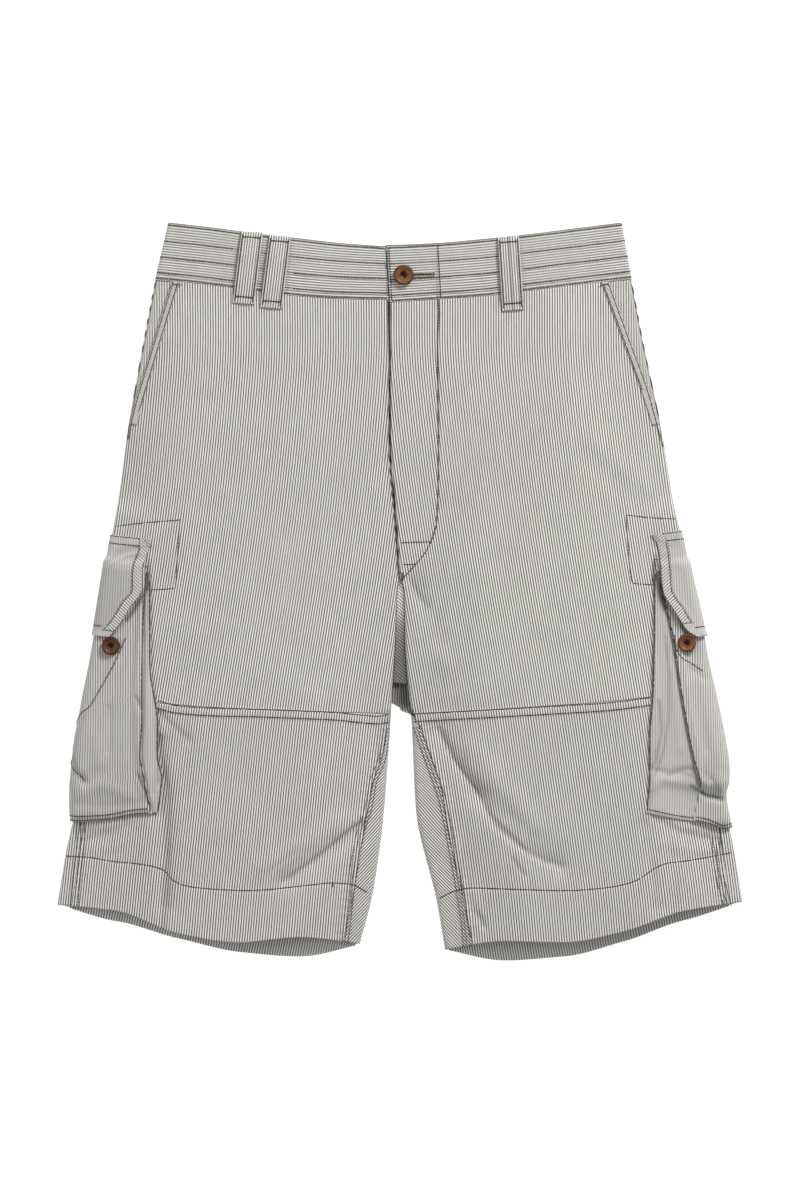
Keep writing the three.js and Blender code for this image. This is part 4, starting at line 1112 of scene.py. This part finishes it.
def make_front(side):
    name = side.name
    low = fronts_low[name]
    rows = dense(HEM, KNEE - SEAM, 1.9, [(KNEE, 8, 0.9), (HEM, 3, 1.0)])
    lower = skin_shell(f"front_lower_cloth_{name}", low, rows,
                       panel_columns(side, lambda v: float(side.outseam(v)), 200), CLOTH, CLOTH_LOOK,
                       uv=lambda v, s, point: flat_uv(side, v, s) + np.array([KNEE_SHIFT, 0]))
    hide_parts(f"front_lower_{name}")
    declare(272, 215)
    mouth = mouths[name]
    rows = dense(KNEE + SEAM, WAIST_SEAM - SEAM, 2.6, [(KNEE, 6, 0.9), (WAIST_SEAM, 4, 1.0)])
    upper = skin_shell(f"front_upper_cloth_{name}", fronts_high[name], rows,
                       panel_columns(side, lambda v: front_edge(side, mouth, v), 200), CLOTH, CLOTH_LOOK)
    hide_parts(f"front_upper_{name}")
    declare(275, 385)


def make_mouth(side):
    name, mouth = side.name, mouths[side.name]
    rows = steps(MOUTH_END + 10, WAIST_SEAM - SEAM - 0.5, 60)
    facing = skin_shell(f"pocket_facing_cloth_{name}", Cloth(side, -LAYER), rows,
                        lambda v: np.linspace(0.4, max(float(mouth(v)), 2) + FACING_UNDER, 22),
                        THIN_CLOTH, BAND_LOOK)
    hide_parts(f"pocket_facing_{name}")
    declare(34, 137)
    line = [(side.sign * x, y) for x, y in MOUTH[name]]
    strip_cloth = Cloth(side, STRIP_HIGH, [Band(line, 1, 0, (0.9,), 0.18, 5.0, 4)])
    rows = steps(MOUTH_END + 14, WAIST_SEAM - SEAM, 110)
    strip = skin_shell(f"pocket_strip_cloth_{name}", strip_cloth, rows,
                       lambda v: np.linspace(float(mouth(v)) + SEAM, float(mouth(v)) + MOUTH_STRIP, 8), 0.9,
                       SOFT_LOOK, uv=lambda v, s, point: turned(flat_uv(side, v, s), 40))
    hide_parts(f"pocket_strip_{name}")
    declare(MOUTH_STRIP, 152)
    return strip_cloth


# Back

def make_back(side):
    name = side.name
    fork_low, fork_high = FORK[name]
    rows = dense(HEM, WAIST_SEAM - SEAM, 5.0, [(HEM, 4, 1.5), ((fork_low + fork_high) / 2, 12, 1.0)])
    outseam_relief = flat_band(side, "outseam")
    inseam_relief = flat_band(side, "inseam")
    cloth = Cloth(side, 0.0, [outseam_relief])
    outer, normals, uvs = [], [], []
    for v in rows:
        curl = 1 - float(smooth((v - fork_low) / (fork_high - fork_low)))
        seam = float(side.outseam(v)) - SEAM
        unrolled = float(side.unrolled(v))
        roll = max(float(side.roll(v)), 0.4)
        flat_end = -(float(side.outer(v)) - max(float(side.inner(v)), 3) - roll + CLOTH_WIDE * SIDE_FOLD)
        s = np.array([*steps(seam, -QUARTER, 14), *steps(-7, -130, 26)[1:], *steps(-130, flat_end, 24)[1:]])
        point, normal = cloth.place(np.full(s.shape, v), s)
        uv = flat_uv(side, np.full(s.shape, v), s)
        parts = np.linspace(0, 1, 15)[1:]
        start, end = unrolled + math.pi / 2 * roll, unrolled - float(side.inseam(v)) + SEAM
        around = mix(start, end, parts)
        wrapped, wrap_normal = skin(side, np.full(around.shape, v), around)
        lower = 0.5 * inseam_relief.height(wrapped[:, 0], wrapped[:, 1]) * smooth((unrolled - around - 2) / 6)
        wrapped = wrapped + wrap_normal * lower[:, None]
        level = np.stack([mix(point[-1, 0], side.sign * CENTRE_SEAM, parts),
                          np.full(parts.shape, float(side.line_height(np.array(v), np.array(1.0)))),
                          np.zeros(parts.shape)], axis=-1)
        level[:, 1] -= FORK_SAG[name] * parts * math.exp(-(((v - fork_high) / 14) ** 2))
        wrapped = mix(level, wrapped, curl)
        wrap_normal = mix(np.array([0, 0, -1.0]), wrap_normal, curl)
        wrap_normal /= np.linalg.norm(wrap_normal, axis=-1, keepdims=True)
        outer.append(np.concatenate([point, wrapped]))
        normals.append(np.concatenate([normal, wrap_normal]))
        trace = np.concatenate([point[-1:], wrapped])
        length = np.cumsum(np.linalg.norm(np.diff(trace, axis=0), axis=-1))
        slanted = 0.8 * (length[-1] - length) - 0.6 * wrapped[:, 1]
        inner_u = mix(uv[-1, 0] - side.sign * length, slanted, curl > 0.5)
        uvs.append(np.concatenate([uv, np.stack([inner_u, level[:, 1]], axis=-1)]))
    outer = np.array(outer)
    # Painted shade deep in the crotch: on the outer face only where it rises, on the whole inner face, with
    # the last column matched
    points, share, wide = CROTCH_SHADE
    distance, _, _ = path_distance(outer[..., 0], outer[..., 1], points)
    dark = share * np.exp(-((distance / wide) ** 2))
    dark = np.stack([dark * smooth((outer[..., 2] - 1) / 3), dark])
    dark[0][:, -1] = dark[1][:, -1]
    piece = shell(f"back_cloth_{name}", outer, np.array(normals), CLOTH, np.array(uvs), CLOTH_LOOK, dark,
                  lined=True)
    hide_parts(f"back_{name}")
    declare(310, 610)


# Waistband

def band_lift(v, s):
    """Grooves under the rows of stitches and puckers between them."""
    v, s = np.broadcast_arrays(np.asarray(v, float), np.asarray(s, float))
    part = (WAIST_TOP - v) / (WAIST_TOP - WAIST_SEAM)
    up = np.zeros(v.shape)
    for k, row in enumerate(BAND_ROWS):
        near = (part - row) * (WAIST_TOP - WAIST_SEAM)
        up = up - 0.34 * np.exp(-((near / 0.9) ** 2))
        up = up + 0.26 * wobble(s / 2.3 + 1.3 * k, 1.7 + k) * np.exp(-((near / 4.5) ** 2))
    up = up + 0.12 * wobble(s / 17.0, 0.8) * wobble(v / 7.0, 0.4)
    return up * smooth((s - 1) / 6)


def band_shades(side):
    """Painted shade lines: in the grooves along the rows of stitches, and along the waistband's own seams."""
    lines = list(BAND_SHADES)
    for part, share in zip(BAND_ROWS, (0.3, 0.42, 0.34, 0.42, 0.2)):
        v = WAIST_TOP - part * (WAIST_TOP - WAIST_SEAM)
        s = np.linspace(float(side.unrolled(v)) - 2.5, 1, 30)
        lines.append(([tuple(p[:2]) for p in skin_point(side, v, s)], share, 0.9))
    return lines


def make_waistband(side):
    name = side.name
    cloth = Cloth(side, band_lift, [], False, (), band_shades(side))
    rows = dense(WAIST_SEAM + SEAM, WAIST_TOP, 1.1, [(WAIST_TOP, 2, 0.8), (WAIST_SEAM, 2, 0.8)])

    def columns(v):
        lap = float(side.unrolled(v)) - SEAM
        centre = -(float(side.outer(v)) + CLOTH_WIDE * SIDE_FOLD - SEAM)
        return np.array([*steps(lap, QUARTER, 170), *steps(QUARTER, -QUARTER, 14)[1:],
                         *steps(-QUARTER, centre, 50)[1:]])

    piece = skin_shell(f"waistband_cloth_{name}", cloth, rows, columns, BAND_CLOTH, BAND_LOOK,
                       lambda v, s, point: np.stack([v, s], axis=-1))
    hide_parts(f"waistband_{name}")
    declare(450, WAIST_TOP - WAIST_SEAM)
    return cloth


# Crotch gusset

def make_gusset():
    rows = np.linspace(GUSSET_LOW, GUSSET_TIP, 60)
    left = skin_point(LEFT, rows, LEFT.unrolled(rows))
    right = skin_point(RIGHT, rows, RIGHT.unrolled(rows))
    u = np.linspace(0, 1, 14)[None, :]
    p = left[:, None] + (right - left)[:, None] * u[..., None]
    p[..., 0] += np.where(u < 0.5, 0.4 * (1 - 2 * u), -0.4 * (2 * u - 1))
    p[..., 2] -= 0.3 + 1.2 * np.sin(math.pi * u)
    normal = np.zeros_like(p)
    normal[..., 2] = 1
    uv = np.stack([0.75 * p[..., 1] + 0.66 * p[..., 0], p[..., 0]], axis=-1)
    # Painted shade by height: dark deep between the legs, painted light at the top
    dark = np.interp(p[..., 1], [a for a, _ in GUSSET_SHADE], [b for _, b in GUSSET_SHADE])
    piece = shell("crotch_gusset_cloth", p, normal, CLOTH, uv, BAND_LOOK, dark)
    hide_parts("crotch_gusset")
    declare(14, GUSSET_TIP - GUSSET_LOW)


# Cargo pockets

class Pocket:
    def __init__(self, side):
        rows = np.array(POCKET[side.name], float)
        v, s = side.locate(side.sign * rows[:, 1], rows[:, 0])
        _, gusset = side.locate(side.sign * rows[:, 2], rows[:, 0])
        self.side, self.low, self.high_end = side, v[0], v[-1]
        self.front, self.gusset = curve(v, s), curve(v, gusset)
        self.edge_high, self.bulge = curve(v, rows[:, 3]), curve(v, rows[:, 4])
        foot = np.array(POCKET_FOOT[side.name], float)
        foot_v, foot_s = side.locate(side.sign * foot[:, 0], foot[:, 1])
        self.foot = curve(foot_s, foot_v - self.low)

    def rear(self, v):
        return mix(POCKET_REAR[0], POCKET_REAR[1], (v - self.low) / (self.high_end - self.low))

    def sag(self, v, s):
        return self.foot(s) * (1 - smooth((v - self.low) / FOOT_FADE)) * (1 - smooth(-s / 12))

    def lift(self, v, s):
        v, s = np.broadcast_arrays(np.asarray(v, float), np.asarray(s, float))
        rear = mix(UNDER_LIFT, LAYER + 0.25, smooth((v - REAR_STEP[0]) / (REAR_STEP[1] - REAR_STEP[0])))
        behind = mix(self.bulge(v), rear, smooth(-s / 8))
        before = mix(self.bulge(v), self.edge_high(v), smooth(s / np.maximum(self.front(v), 8)))
        return np.where(s < 0, behind, before)


def side_columns(rear, front, count=44):
    fold = [s for s in steps(-QUARTER, QUARTER, 16) if s < front - 2]
    behind = [rear, *steps(rear, -QUARTER, 24)[1:]]
    return np.array([*behind, *fold[1:], *steps(fold[-1], front, count + 17 - len(fold))[1:]])


def make_pocket(side):
    name = side.name
    pocket = Pocket(side)
    bag = Cloth(side, pocket.lift, [], False, BAG_FOLDS[name], POCKET_SHADES[name], pocket.sag)
    rows = steps(pocket.low, pocket.high_end, 150)
    piece = skin_shell(f"cargo_bag_cloth_{name}", bag, rows,
                       lambda v: side_columns(float(pocket.rear(v)), float(pocket.front(v)), 60), CLOTH,
                       POCKET_LOOK, uv=lambda v, s, point: arc_uv(point), floor_cut=True)
    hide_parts(f"cargo_bag_{name}")
    declare(145, 225)

    def gusset_lift(v, s):
        start = pocket.front(v) - 2.5
        t = clamp((s - start) / (pocket.gusset(v) - start))
        top = np.maximum(1.35, pocket.lift(v, start) - CLOTH - 0.4)
        return mix(top, 1.35, t)

    gusset = Cloth(side, gusset_lift, [], False, GUSSET_FOLDS[name], POCKET_SHADES[name], pocket.sag)
    inner_rows = [v for v in rows if float(pocket.edge_high(v)) > 2.0]
    piece = skin_shell(f"cargo_gusset_cloth_{name}", gusset, inner_rows,
                       lambda v: np.linspace(float(pocket.front(v)) - 2.5, float(pocket.gusset(v)), 34),
                       THIN_CLOTH, SOFT_LOOK, uv=lambda v, s, point: arc_uv(point))
    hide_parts(f"cargo_gusset_{name}")
    declare(30, 215)
    return pocket, bag, gusset


def make_flap(side, pocket):
    name = side.name
    rows = np.array(FLAP[name], float)
    v, s = side.locate(side.sign * rows[:, 1], rows[:, 0])
    front, low, high = curve(v, s), v[0], v[-1]

    def over(v, s):
        bag = pocket.lift(np.minimum(v, pocket.high_end), np.minimum(s, pocket.front(v)))
        on_bag = 1 - smooth((v - pocket.high_end - 1.5) / 8)
        return mix(LAYER, np.maximum(bag, 1.9) + LAYER + 0.4, on_bag)

    def lift(v, s):
        v, s = np.broadcast_arrays(np.asarray(v, float), np.asarray(s, float))
        open_by = FLAP_STANDS * smooth((s - front(v) + 16) / 16) * smooth((360 - v) / 40) * (s > 0)
        behind = mix(over(v, np.zeros_like(s)), UNDER_LIFT, smooth(-s / 8))
        return np.where(s < 0, behind, over(v, s)) + open_by

    places = np.linspace(low, high, 400)
    binding_low = places[np.argmax(front(places) > BINDING_FROM)]
    binding = lambda v: FLAP_BINDING * np.hypot(1, (front(v + 1) - front(v - 1)) / 2)
    flap = Cloth(side, lift, [], False, FLAP_FOLDS[name], FLAP_SHADES[name])
    upper = [binding_low + SEAM, *steps(binding_low + SEAM, high, 50)[1:]]
    all_rows = [*steps(low, binding_low - SEAM, 8), *upper]
    rear = lambda v: float(pocket.rear(min(v, pocket.high_end))) - 1

    def columns(v):
        edge = float(front(v))
        if v > binding_low:
            edge -= float(binding(v)) + SEAM
        return side_columns(rear(v), edge)

    piece = skin_shell(f"flap_cloth_{name}", flap, all_rows, columns, CLOTH, SOFT_LOOK,
                       uv=lambda v, s, point: turned(arc_uv(point), 3), floor_cut=True)
    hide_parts(f"flap_{name}")
    declare(135, 92)
    edging = Cloth(side, lambda v, s: lift(v, s) + 0.5, [], False, FLAP_FOLDS[name])
    strip = skin_shell(f"flap_binding_cloth_{name}", edging, upper,
                       lambda v: np.linspace(float(front(v) - binding(v)) + SEAM, float(front(v)), 12), CLOTH,
                       POCKET_LOOK, uv=lambda v, s, point: turned(arc_uv(point), -48))
    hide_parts(f"flap_binding_{name}")
    declare(FLAP_BINDING + 2, 100)
    return flap, edging, front, binding, binding_low, low, high


# Belt loops

def loop_place(side, top, end, u, across):
    """x and y on a belt loop: u runs down it, across goes from -0.5 to 0.5 over its width."""
    x = mix(top[0], end[0], u) + across * LOOP_WIDTH
    return x, mix(top[1], end[1], u) + across * side.sign * LOOP_WIDTH * LOOP_SLANT


def make_loop(name, top, end):
    side = LEFT if top[0] < 0 else RIGHT
    bow = curve([p[0] for p in LOOP_BOW], [p[1] for p in LOOP_BOW])
    u = np.concatenate([np.linspace(0, 0.1, 6), np.linspace(0.1, 0.9, 40)[1:], np.linspace(0.9, 1, 8)[1:]])
    across = np.linspace(-0.5, 0.5, 27)
    x, y = loop_place(side, top, end, u[:, None], across[None])
    v, s = side.locate(x, y)
    point, normal = skin(side, v, s, False)
    edge = 0.25 * np.cos(across * math.pi * 2)[None]
    middle = np.exp(-((across / 0.05) ** 2))[None] * (side is RIGHT)
    point = point + normal * (bow(u)[:, None] + edge - 0.4 * middle)[..., None]
    # Painted shade along the right loop's middle fold
    dark = 0.45 * middle + 0 * u[:, None]
    uv = np.stack([x - mix(top[0], end[0], u)[:, None], y], axis=-1)
    piece = shell(f"{name}_cloth", point, normal, LOOP_CLOTH, uv, LOOP_LOOK, dark)
    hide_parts(name)
    declare(LOOP_WIDTH, 68)
    return side, bow


# Buttons

def make_button(name, x, y, width, rest, side):
    """Turned button with a rim and a dished middle. Its four holes aren't cut: thread shows where they are."""
    v, s = side.locate(np.array([x]), np.array([y]))
    point, normal = skin(side, v, s, False)
    centre = point[0] + normal[0] * (rest + 0.4 + BUTTON_SHANK)
    up = normal[0]
    east = np.cross([0, 1, 0], up)
    east /= np.linalg.norm(east)
    north = np.cross(up, east)
    r = width / 2
    reach = 1.75
    rings = 64
    angle = np.linspace(0, 2 * math.pi, rings, endpoint=False)
    profile = [(0.9, 0.0), (r * 0.85, 0.0), (r * 0.96, 0.4), (r, 1.1), (r, BUTTON_THICK - 0.8),
               (r * 0.97, BUTTON_THICK - 0.3), (r * 0.9, BUTTON_THICK), (r * 0.8, BUTTON_THICK - 0.05),
               (r * 0.72, BUTTON_THICK - 0.5), (r * 0.64, 1.95), (r * 0.5, 1.72), (0.9, 1.65)]
    vertices, faces, uvs = [], [], []
    for radius, z in profile:
        for a in angle:
            vertices.append((radius * math.cos(a), radius * math.sin(a), z))
            uvs.append((radius / r, a))
    n = len(profile)
    for i in range(n):
        for j in range(rings):
            k = (j + 1) % rings
            faces.append((i * rings + j, i * rings + k, (i + 1) % n * rings + k, (i + 1) % n * rings + j))
    local = np.array(vertices)
    world = centre + local[:, :1] * east + local[:, 1:2] * north + local[:, 2:] * up
    # The left pocket button takes the darker copy: painted shade
    look = SHADED_BUTTON_LOOK if name == "pocket_button_left" else BUTTON_LOOK
    piece = add_mesh(f"{name}_body", world, faces, look, uvs)
    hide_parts(name)
    work = StitchWork(f"{name}_thread")
    for turn in (0.25, 0.75, 1.25, 1.75):
        a = turn * math.pi
        for slip in (-0.3, 0.0, 0.3):
            start = centre + up * 1.55 + reach * 0.9 * (math.cos(a) * east + math.sin(a) * north)
            side_way = -math.sin(a) * east + math.cos(a) * north
            line = np.array([start * (1 - t) + (centre + up * 1.75) * t + side_way * slip * (1 - 0.4 * t)
                             for t in np.linspace(0, 1, 6)])
            work.add(*stitches_on(line, np.repeat(up[None], 6, axis=0), raise_by=0.35, stitch=9, gap=0.0,
                                  radius=0.26))
    for turn in np.linspace(0, 2 * math.pi, 7)[:-1]:
        outward = math.cos(turn) * east + math.sin(turn) * north
        foot = centre + 0.8 * outward
        line = np.array([foot - up * (BUTTON_SHANK + 0.4) * (1 - t) + up * 0.2 * t
                         for t in np.linspace(0, 1, 5)])
        work.add(*stitches_on(line, np.repeat(outward[None], 5, axis=0), raise_by=0.2, stitch=9, gap=0.0,
                              radius=0.3))
    work.finish(BUTTON_THREAD)


# Put together

bands, pockets, flaps, strips = {}, {}, {}, {}
for side in SIDES:
    make_front(side)
    strips[side.name] = make_mouth(side)
    make_back(side)
    bands[side.name] = make_waistband(side)
    pockets[side.name] = make_pocket(side)
    flaps[side.name] = make_flap(side, pockets[side.name][0])
make_gusset()
loops = {name: make_loop(name, top, end) for name, top, end in LOOPS}
for name, x, y, width, over in BUTTONS:
    side = RIGHT if over == "band" or x > 0 else LEFT
    rest = 0.0
    if over == "pocket":
        v, s = side.locate(np.array([x]), np.array([y]))
        rest = float(pockets[side.name][0].lift(v, s)[0])
    make_button(name, x, y, width, rest, side)


def stitch_fronts():
    for side in SIDES:
        name, sign = side.name, side.sign
        low, high = fronts_low[name], fronts_high[name]
        work = StitchWork(f"topstitch_{name}")
        work.row(high, KNEE_BAND[name], 3.4, seed=1.1)
        work.row(low, KNEE_BAND[name], -3.4, seed=2.2)
        work.row(low, HEM_LINE[name], seed=3.3, raise_by=0.36)
        inseam = INSEAM_LINE[name]
        for k, offset in enumerate((-1.6, 1.6, 4.6)):
            work.row(low, inseam, -offset * sign, seed=4.0 + k, radius=0.27)
        for k, offset in enumerate((-1.8, 1.8, 5.0)):
            work.row(low, OUTSEAM_LINE[name], -offset * sign, seed=6.0 + k, radius=0.32)
        work.row(high, POCKET_PATCH[name], seed=7.7)
        if side is LEFT:
            work.bartack(low, (-60.5, 70.5), (-60.5, 66))
        mouth = [(sign * x, y) for x, y in MOUTH[name]]
        top = mouth[0]
        work.row(strips[name], mouth, -1.2 * sign, seed=8.8)
        work.row(strips[name], mouth[:-1], -5.4 * sign, seed=9.9)
        work.bartack(strips[name], (top[0] - sign * 0.5, 608.5), (top[0] - sign * 8, 607.5))
        work.finish()
    work = StitchWork("topstitch_fly")
    high = fronts_high["right"]
    work.row(high, FLY_J, seed=1.3, radius=0.52, raise_by=0.1)
    work.row(high, [(1.5, 375.5), (15, 376), (28, 376.5)], seed=3.1)
    work.row(high, [(3, 356), (9, 356), (14.5, 356.5)], seed=3.7)
    work.bartack(high, (2.5, 349), (2.5, 341))
    work.finish()


def stitch_band():
    """Rows round the waistband, left out behind the loops and beside the button."""
    for side in SIDES:
        work = StitchWork(f"topstitch_band_{side.name}")
        cloth = bands[side.name]
        for k, part in enumerate(BAND_ROWS):
            v = WAIST_TOP - part * (WAIST_TOP - WAIST_SEAM)
            lap = float(side.unrolled(v)) - 2.5
            s = np.arange(lap, 0, -0.8)
            x = side.sign * (side.outer(v) - s + CLOTH_WIDE * SIDE_FOLD)
            keep = np.ones(len(s), bool)
            if 0.1 < part < 0.95:
                for a, b in [*LOOP_GAPS, BUTTON_GAP] if k == 1 else LOOP_GAPS:
                    keep &= ~((x > a) & (x < b))
            edges = np.flatnonzero(np.diff(np.concatenate([[0], keep.astype(int), [0]])))
            for a, b in zip(edges[::2], edges[1::2]):
                if b - a > 6:
                    line = np.full(b - a, v) + 0.35 * wobble(s[a:b] / 13.0, 1.0 + k)
                    work.along(cloth, line, s[a:b], seed=1.0 + k)
        work.finish()
    work = StitchWork("topstitch_lap")
    cloth = bands["right"]
    v = np.linspace(WAIST_SEAM + 2, WAIST_TOP - 1.5, 60)
    for inset in (2.4, 46.5):
        work.along(cloth, v, RIGHT.unrolled(v) - inset, seed=inset)
    work.finish()
    work = StitchWork("buttonhole")
    x = np.linspace(HOLE_FROM, HOLE_TO, 60)
    middle = HOLE_Y + HOLE_RISE * (x - HOLE_FROM) / (HOLE_TO - HOLE_FROM)
    for rise in (-1.7, 1.7):
        line = [(a, b + rise + 0.55 * (-1) ** k) for k, (a, b) in enumerate(zip(x, middle))]
        work.row(cloth, line, stitch=0.9, gap=0.02, radius=0.36, raise_by=0.3)
    work.finish(PALE_THREAD)
    # A dark thread row along the slit is painted shade for the slit; the short row across its end is real
    # thread
    work = StitchWork("buttonhole_slit_shade_and_bar")
    work.row(cloth, [(HOLE_FROM, HOLE_Y), (29.5, 617.3)], stitch=3.0, gap=0.02, radius=0.5, raise_by=0.15)
    work.row(cloth, [(30.2, 615.4), (30.6, 619.0)], stitch=0.8, gap=0.02, radius=0.4, raise_by=0.35)
    work.finish(BUTTON_THREAD)


def stitch_loops():
    work = StitchWork("topstitch_loops")
    for name, top, end in LOOPS:
        side, bow = loops[name]
        cloth = Cloth(side, 0.0)
        for across in (-0.41, 0.41):
            u = np.linspace(0.04, 0.97, 90)
            point, normal = cloth.place(*side.locate(*loop_place(side, top, end, u, across)))
            work.add(*stitches_on(point + normal * bow(u)[:, None], normal, seed=across))
        for u0 in (0.075, 0.905):
            across = np.linspace(-0.4, 0.4, 44)
            zig = np.where(np.arange(44) % 2 == 0, 0.007, -0.007)
            u = u0 + zig
            point, normal = cloth.place(*side.locate(*loop_place(side, top, end, u, across)))
            work.add(*stitches_on(point + normal * (bow(u) + 0.1)[:, None], normal, stitch=1.2, gap=0.02,
                                  raise_by=0.25))
    work.finish()


# Curved seam on each bag
PATCH_CURVE = {
    "left": [(-246.5, 290), (-251, 280), (-257.5, 265.5), (-265.5, 251), (-275.5, 234), (-284, 219.5),
             (-288.5, 207), (-290.5, 194), (-290.5, 182), (-288, 171), (-284, 161)],
    "right": [(246.5, 292.5), (247.5, 281.5), (253, 272.5), (263, 266.5), (272.5, 260)],
}

# Zigzag tacks of each cargo pocket, from and to: on the gusset and on the flap
TACKS = {
    "left": [(-227.5, 355, -228.5, 333), (-229.5, 378, -224.5, 372)],
    "right": [(230, 361, 228.5, 341), (229, 383, 232.5, 378)],
}


def stitch_pockets():
    for side in SIDES:
        name = side.name
        pocket, bag, gusset = pockets[name]
        flap, edging, front, binding, binding_low, low, high = flaps[name]
        work = StitchWork(f"topstitch_pocket_{name}")
        v = np.linspace(pocket.low + 3, pocket.high_end - 2, 300)
        shown = v[v > pocket.low + (3 if side is LEFT else 32)]
        # Real edge stitching, drawn thick, dark and unbroken so that it also stands for the shadow line along
        # the seam: partly painted shadow
        work.along(bag, shown, pocket.front(shown) - 0.8, seed=1.2, stitch=5.0, gap=0.04, radius=0.56,
                   raise_by=0.1)
        inner = v[pocket.edge_high(v) > 2.4]
        work.along(gusset, inner, pocket.gusset(inner) - 0.8, seed=2.2, stitch=5.0, gap=0.04, radius=0.6)
        work.row(bag, PATCH_CURVE[name], seed=3.2)
        for inset in (1.6, 6.0):
            ends = pocket.front(pocket.low + inset), pocket.gusset(pocket.low + inset)
            s = np.linspace(0.5, float(ends[0]) - 3, 120)
            work.along(bag, np.full(120, pocket.low + inset), s, seed=4.2 + inset)
        if side is RIGHT:
            s = np.linspace(float(ends[0]), float(ends[1]) - 2, 60)
            work.along(gusset, np.full(60, min(inner) + 1.5), s, seed=6.6)
        s = np.linspace(float(front(high - 7)) - 1, 0.5, 120)
        work.along(flap, np.full(120, high - 7.0), s, seed=5.2)
        work.along(flap, np.full(120, high - 0.7), s, seed=5.6, radius=0.34)
        v = np.linspace(binding_low + 1, high - 8, 160)
        work.along(edging, v, front(v) - binding(v) + 1.3, seed=6.2)
        s = np.linspace(1.0, float(front(binding_low) - binding(binding_low)), 60)
        work.along(flap, np.full(60, low + FLAP_BINDING), s, seed=7.2)
        (x1, y1, x2, y2), (x3, y3, x4, y4) = TACKS[name]
        work.bartack(gusset, (x1, y1), (x2, y2), 4.6, 1.1)
        work.bartack(flap, (x3, y3), (x4, y4), 2.6, 0.35)
        work.finish()


stitch_fronts()
stitch_band()
stitch_loops()
stitch_pockets()


# Stage, light and camera

FLOOR_HALF = 6.0
FLOOR_DROP = 0.0002
WORLD_LIGHT = 0.42
FLOOR_GLOW = 0.8
# Area lights: name, place, size, power
LIGHTS = [("key", (1.6, 2.7, 2.2), 1.2, 127), ("fill", (-1.9, 0.4, 1.6), 1.6, 12)]


def make_stage():
    half = FLOOR_HALF
    mesh = bpy.data.meshes.new("floor")
    corners = [(-half, -half, 0), (half, -half, 0), (half, half, 0), (-half, half, 0)]
    mesh.from_pydata(corners, [], [(0, 1, 2, 3)])
    floor = bpy.data.objects.new("floor", mesh)
    floor.location.z = -FLOOR_DROP
    bpy.context.scene.collection.objects.link(floor)
    material, tree, shader = new_material("pale_floor")
    shader.inputs["Base Color"].default_value = (0.5, 0.5, 0.5, 1)
    shader.inputs["Roughness"].default_value = 0.9
    shader.inputs["Emission Color"].default_value = (1, 1, 1, 1)
    shader.inputs["Emission Strength"].default_value = FLOOR_GLOW
    mesh.materials.append(material)


def area_light(name, place, size, power):
    """Round light that points at the middle of the frame."""
    light = bpy.data.lights.new(name, "AREA")
    light.shape = "DISK"
    light.size = size
    light.energy = power
    lamp = bpy.data.objects.new(name, light)
    lamp.location = place
    lamp.rotation_euler = (-Vector(place)).to_track_quat("-Z", "Y").to_euler()
    bpy.context.scene.collection.objects.link(lamp)


def make_light():
    world = bpy.data.worlds.new("studio")
    world.use_nodes = True
    background = world.node_tree.nodes["Background"]
    background.inputs[0].default_value = (1, 1, 1, 1)
    background.inputs[1].default_value = WORLD_LIGHT
    bpy.context.scene.world = world
    for light in LIGHTS:
        area_light(*light)
    bpy.context.scene.view_settings.view_transform = "Standard"


# Camera. Metres: height of what the frame shows, height above the floor, height of its aim.
# Millimetres: height of its sensor, and the middle of the view along y
FRAME_TALL = 1.080
CAMERA_HIGH = 6.0
AIM_HIGH = 0.01
SENSOR = 36
VIEW_MIDDLE_Y = 324


def make_camera():
    camera = bpy.data.cameras.new("camera")
    camera.sensor_fit = "VERTICAL"
    camera.sensor_height = SENSOR
    camera.lens = SENSOR * (CAMERA_HIGH - AIM_HIGH) / FRAME_TALL
    camera.clip_end = 20
    holder = bpy.data.objects.new("camera", camera)
    holder.location = (0, (VIEW_MIDDLE_Y + SHIFT[1]) * MM, CAMERA_HIGH)
    bpy.context.scene.collection.objects.link(holder)
    bpy.context.scene.camera = holder


make_stage()
make_light()
make_camera()
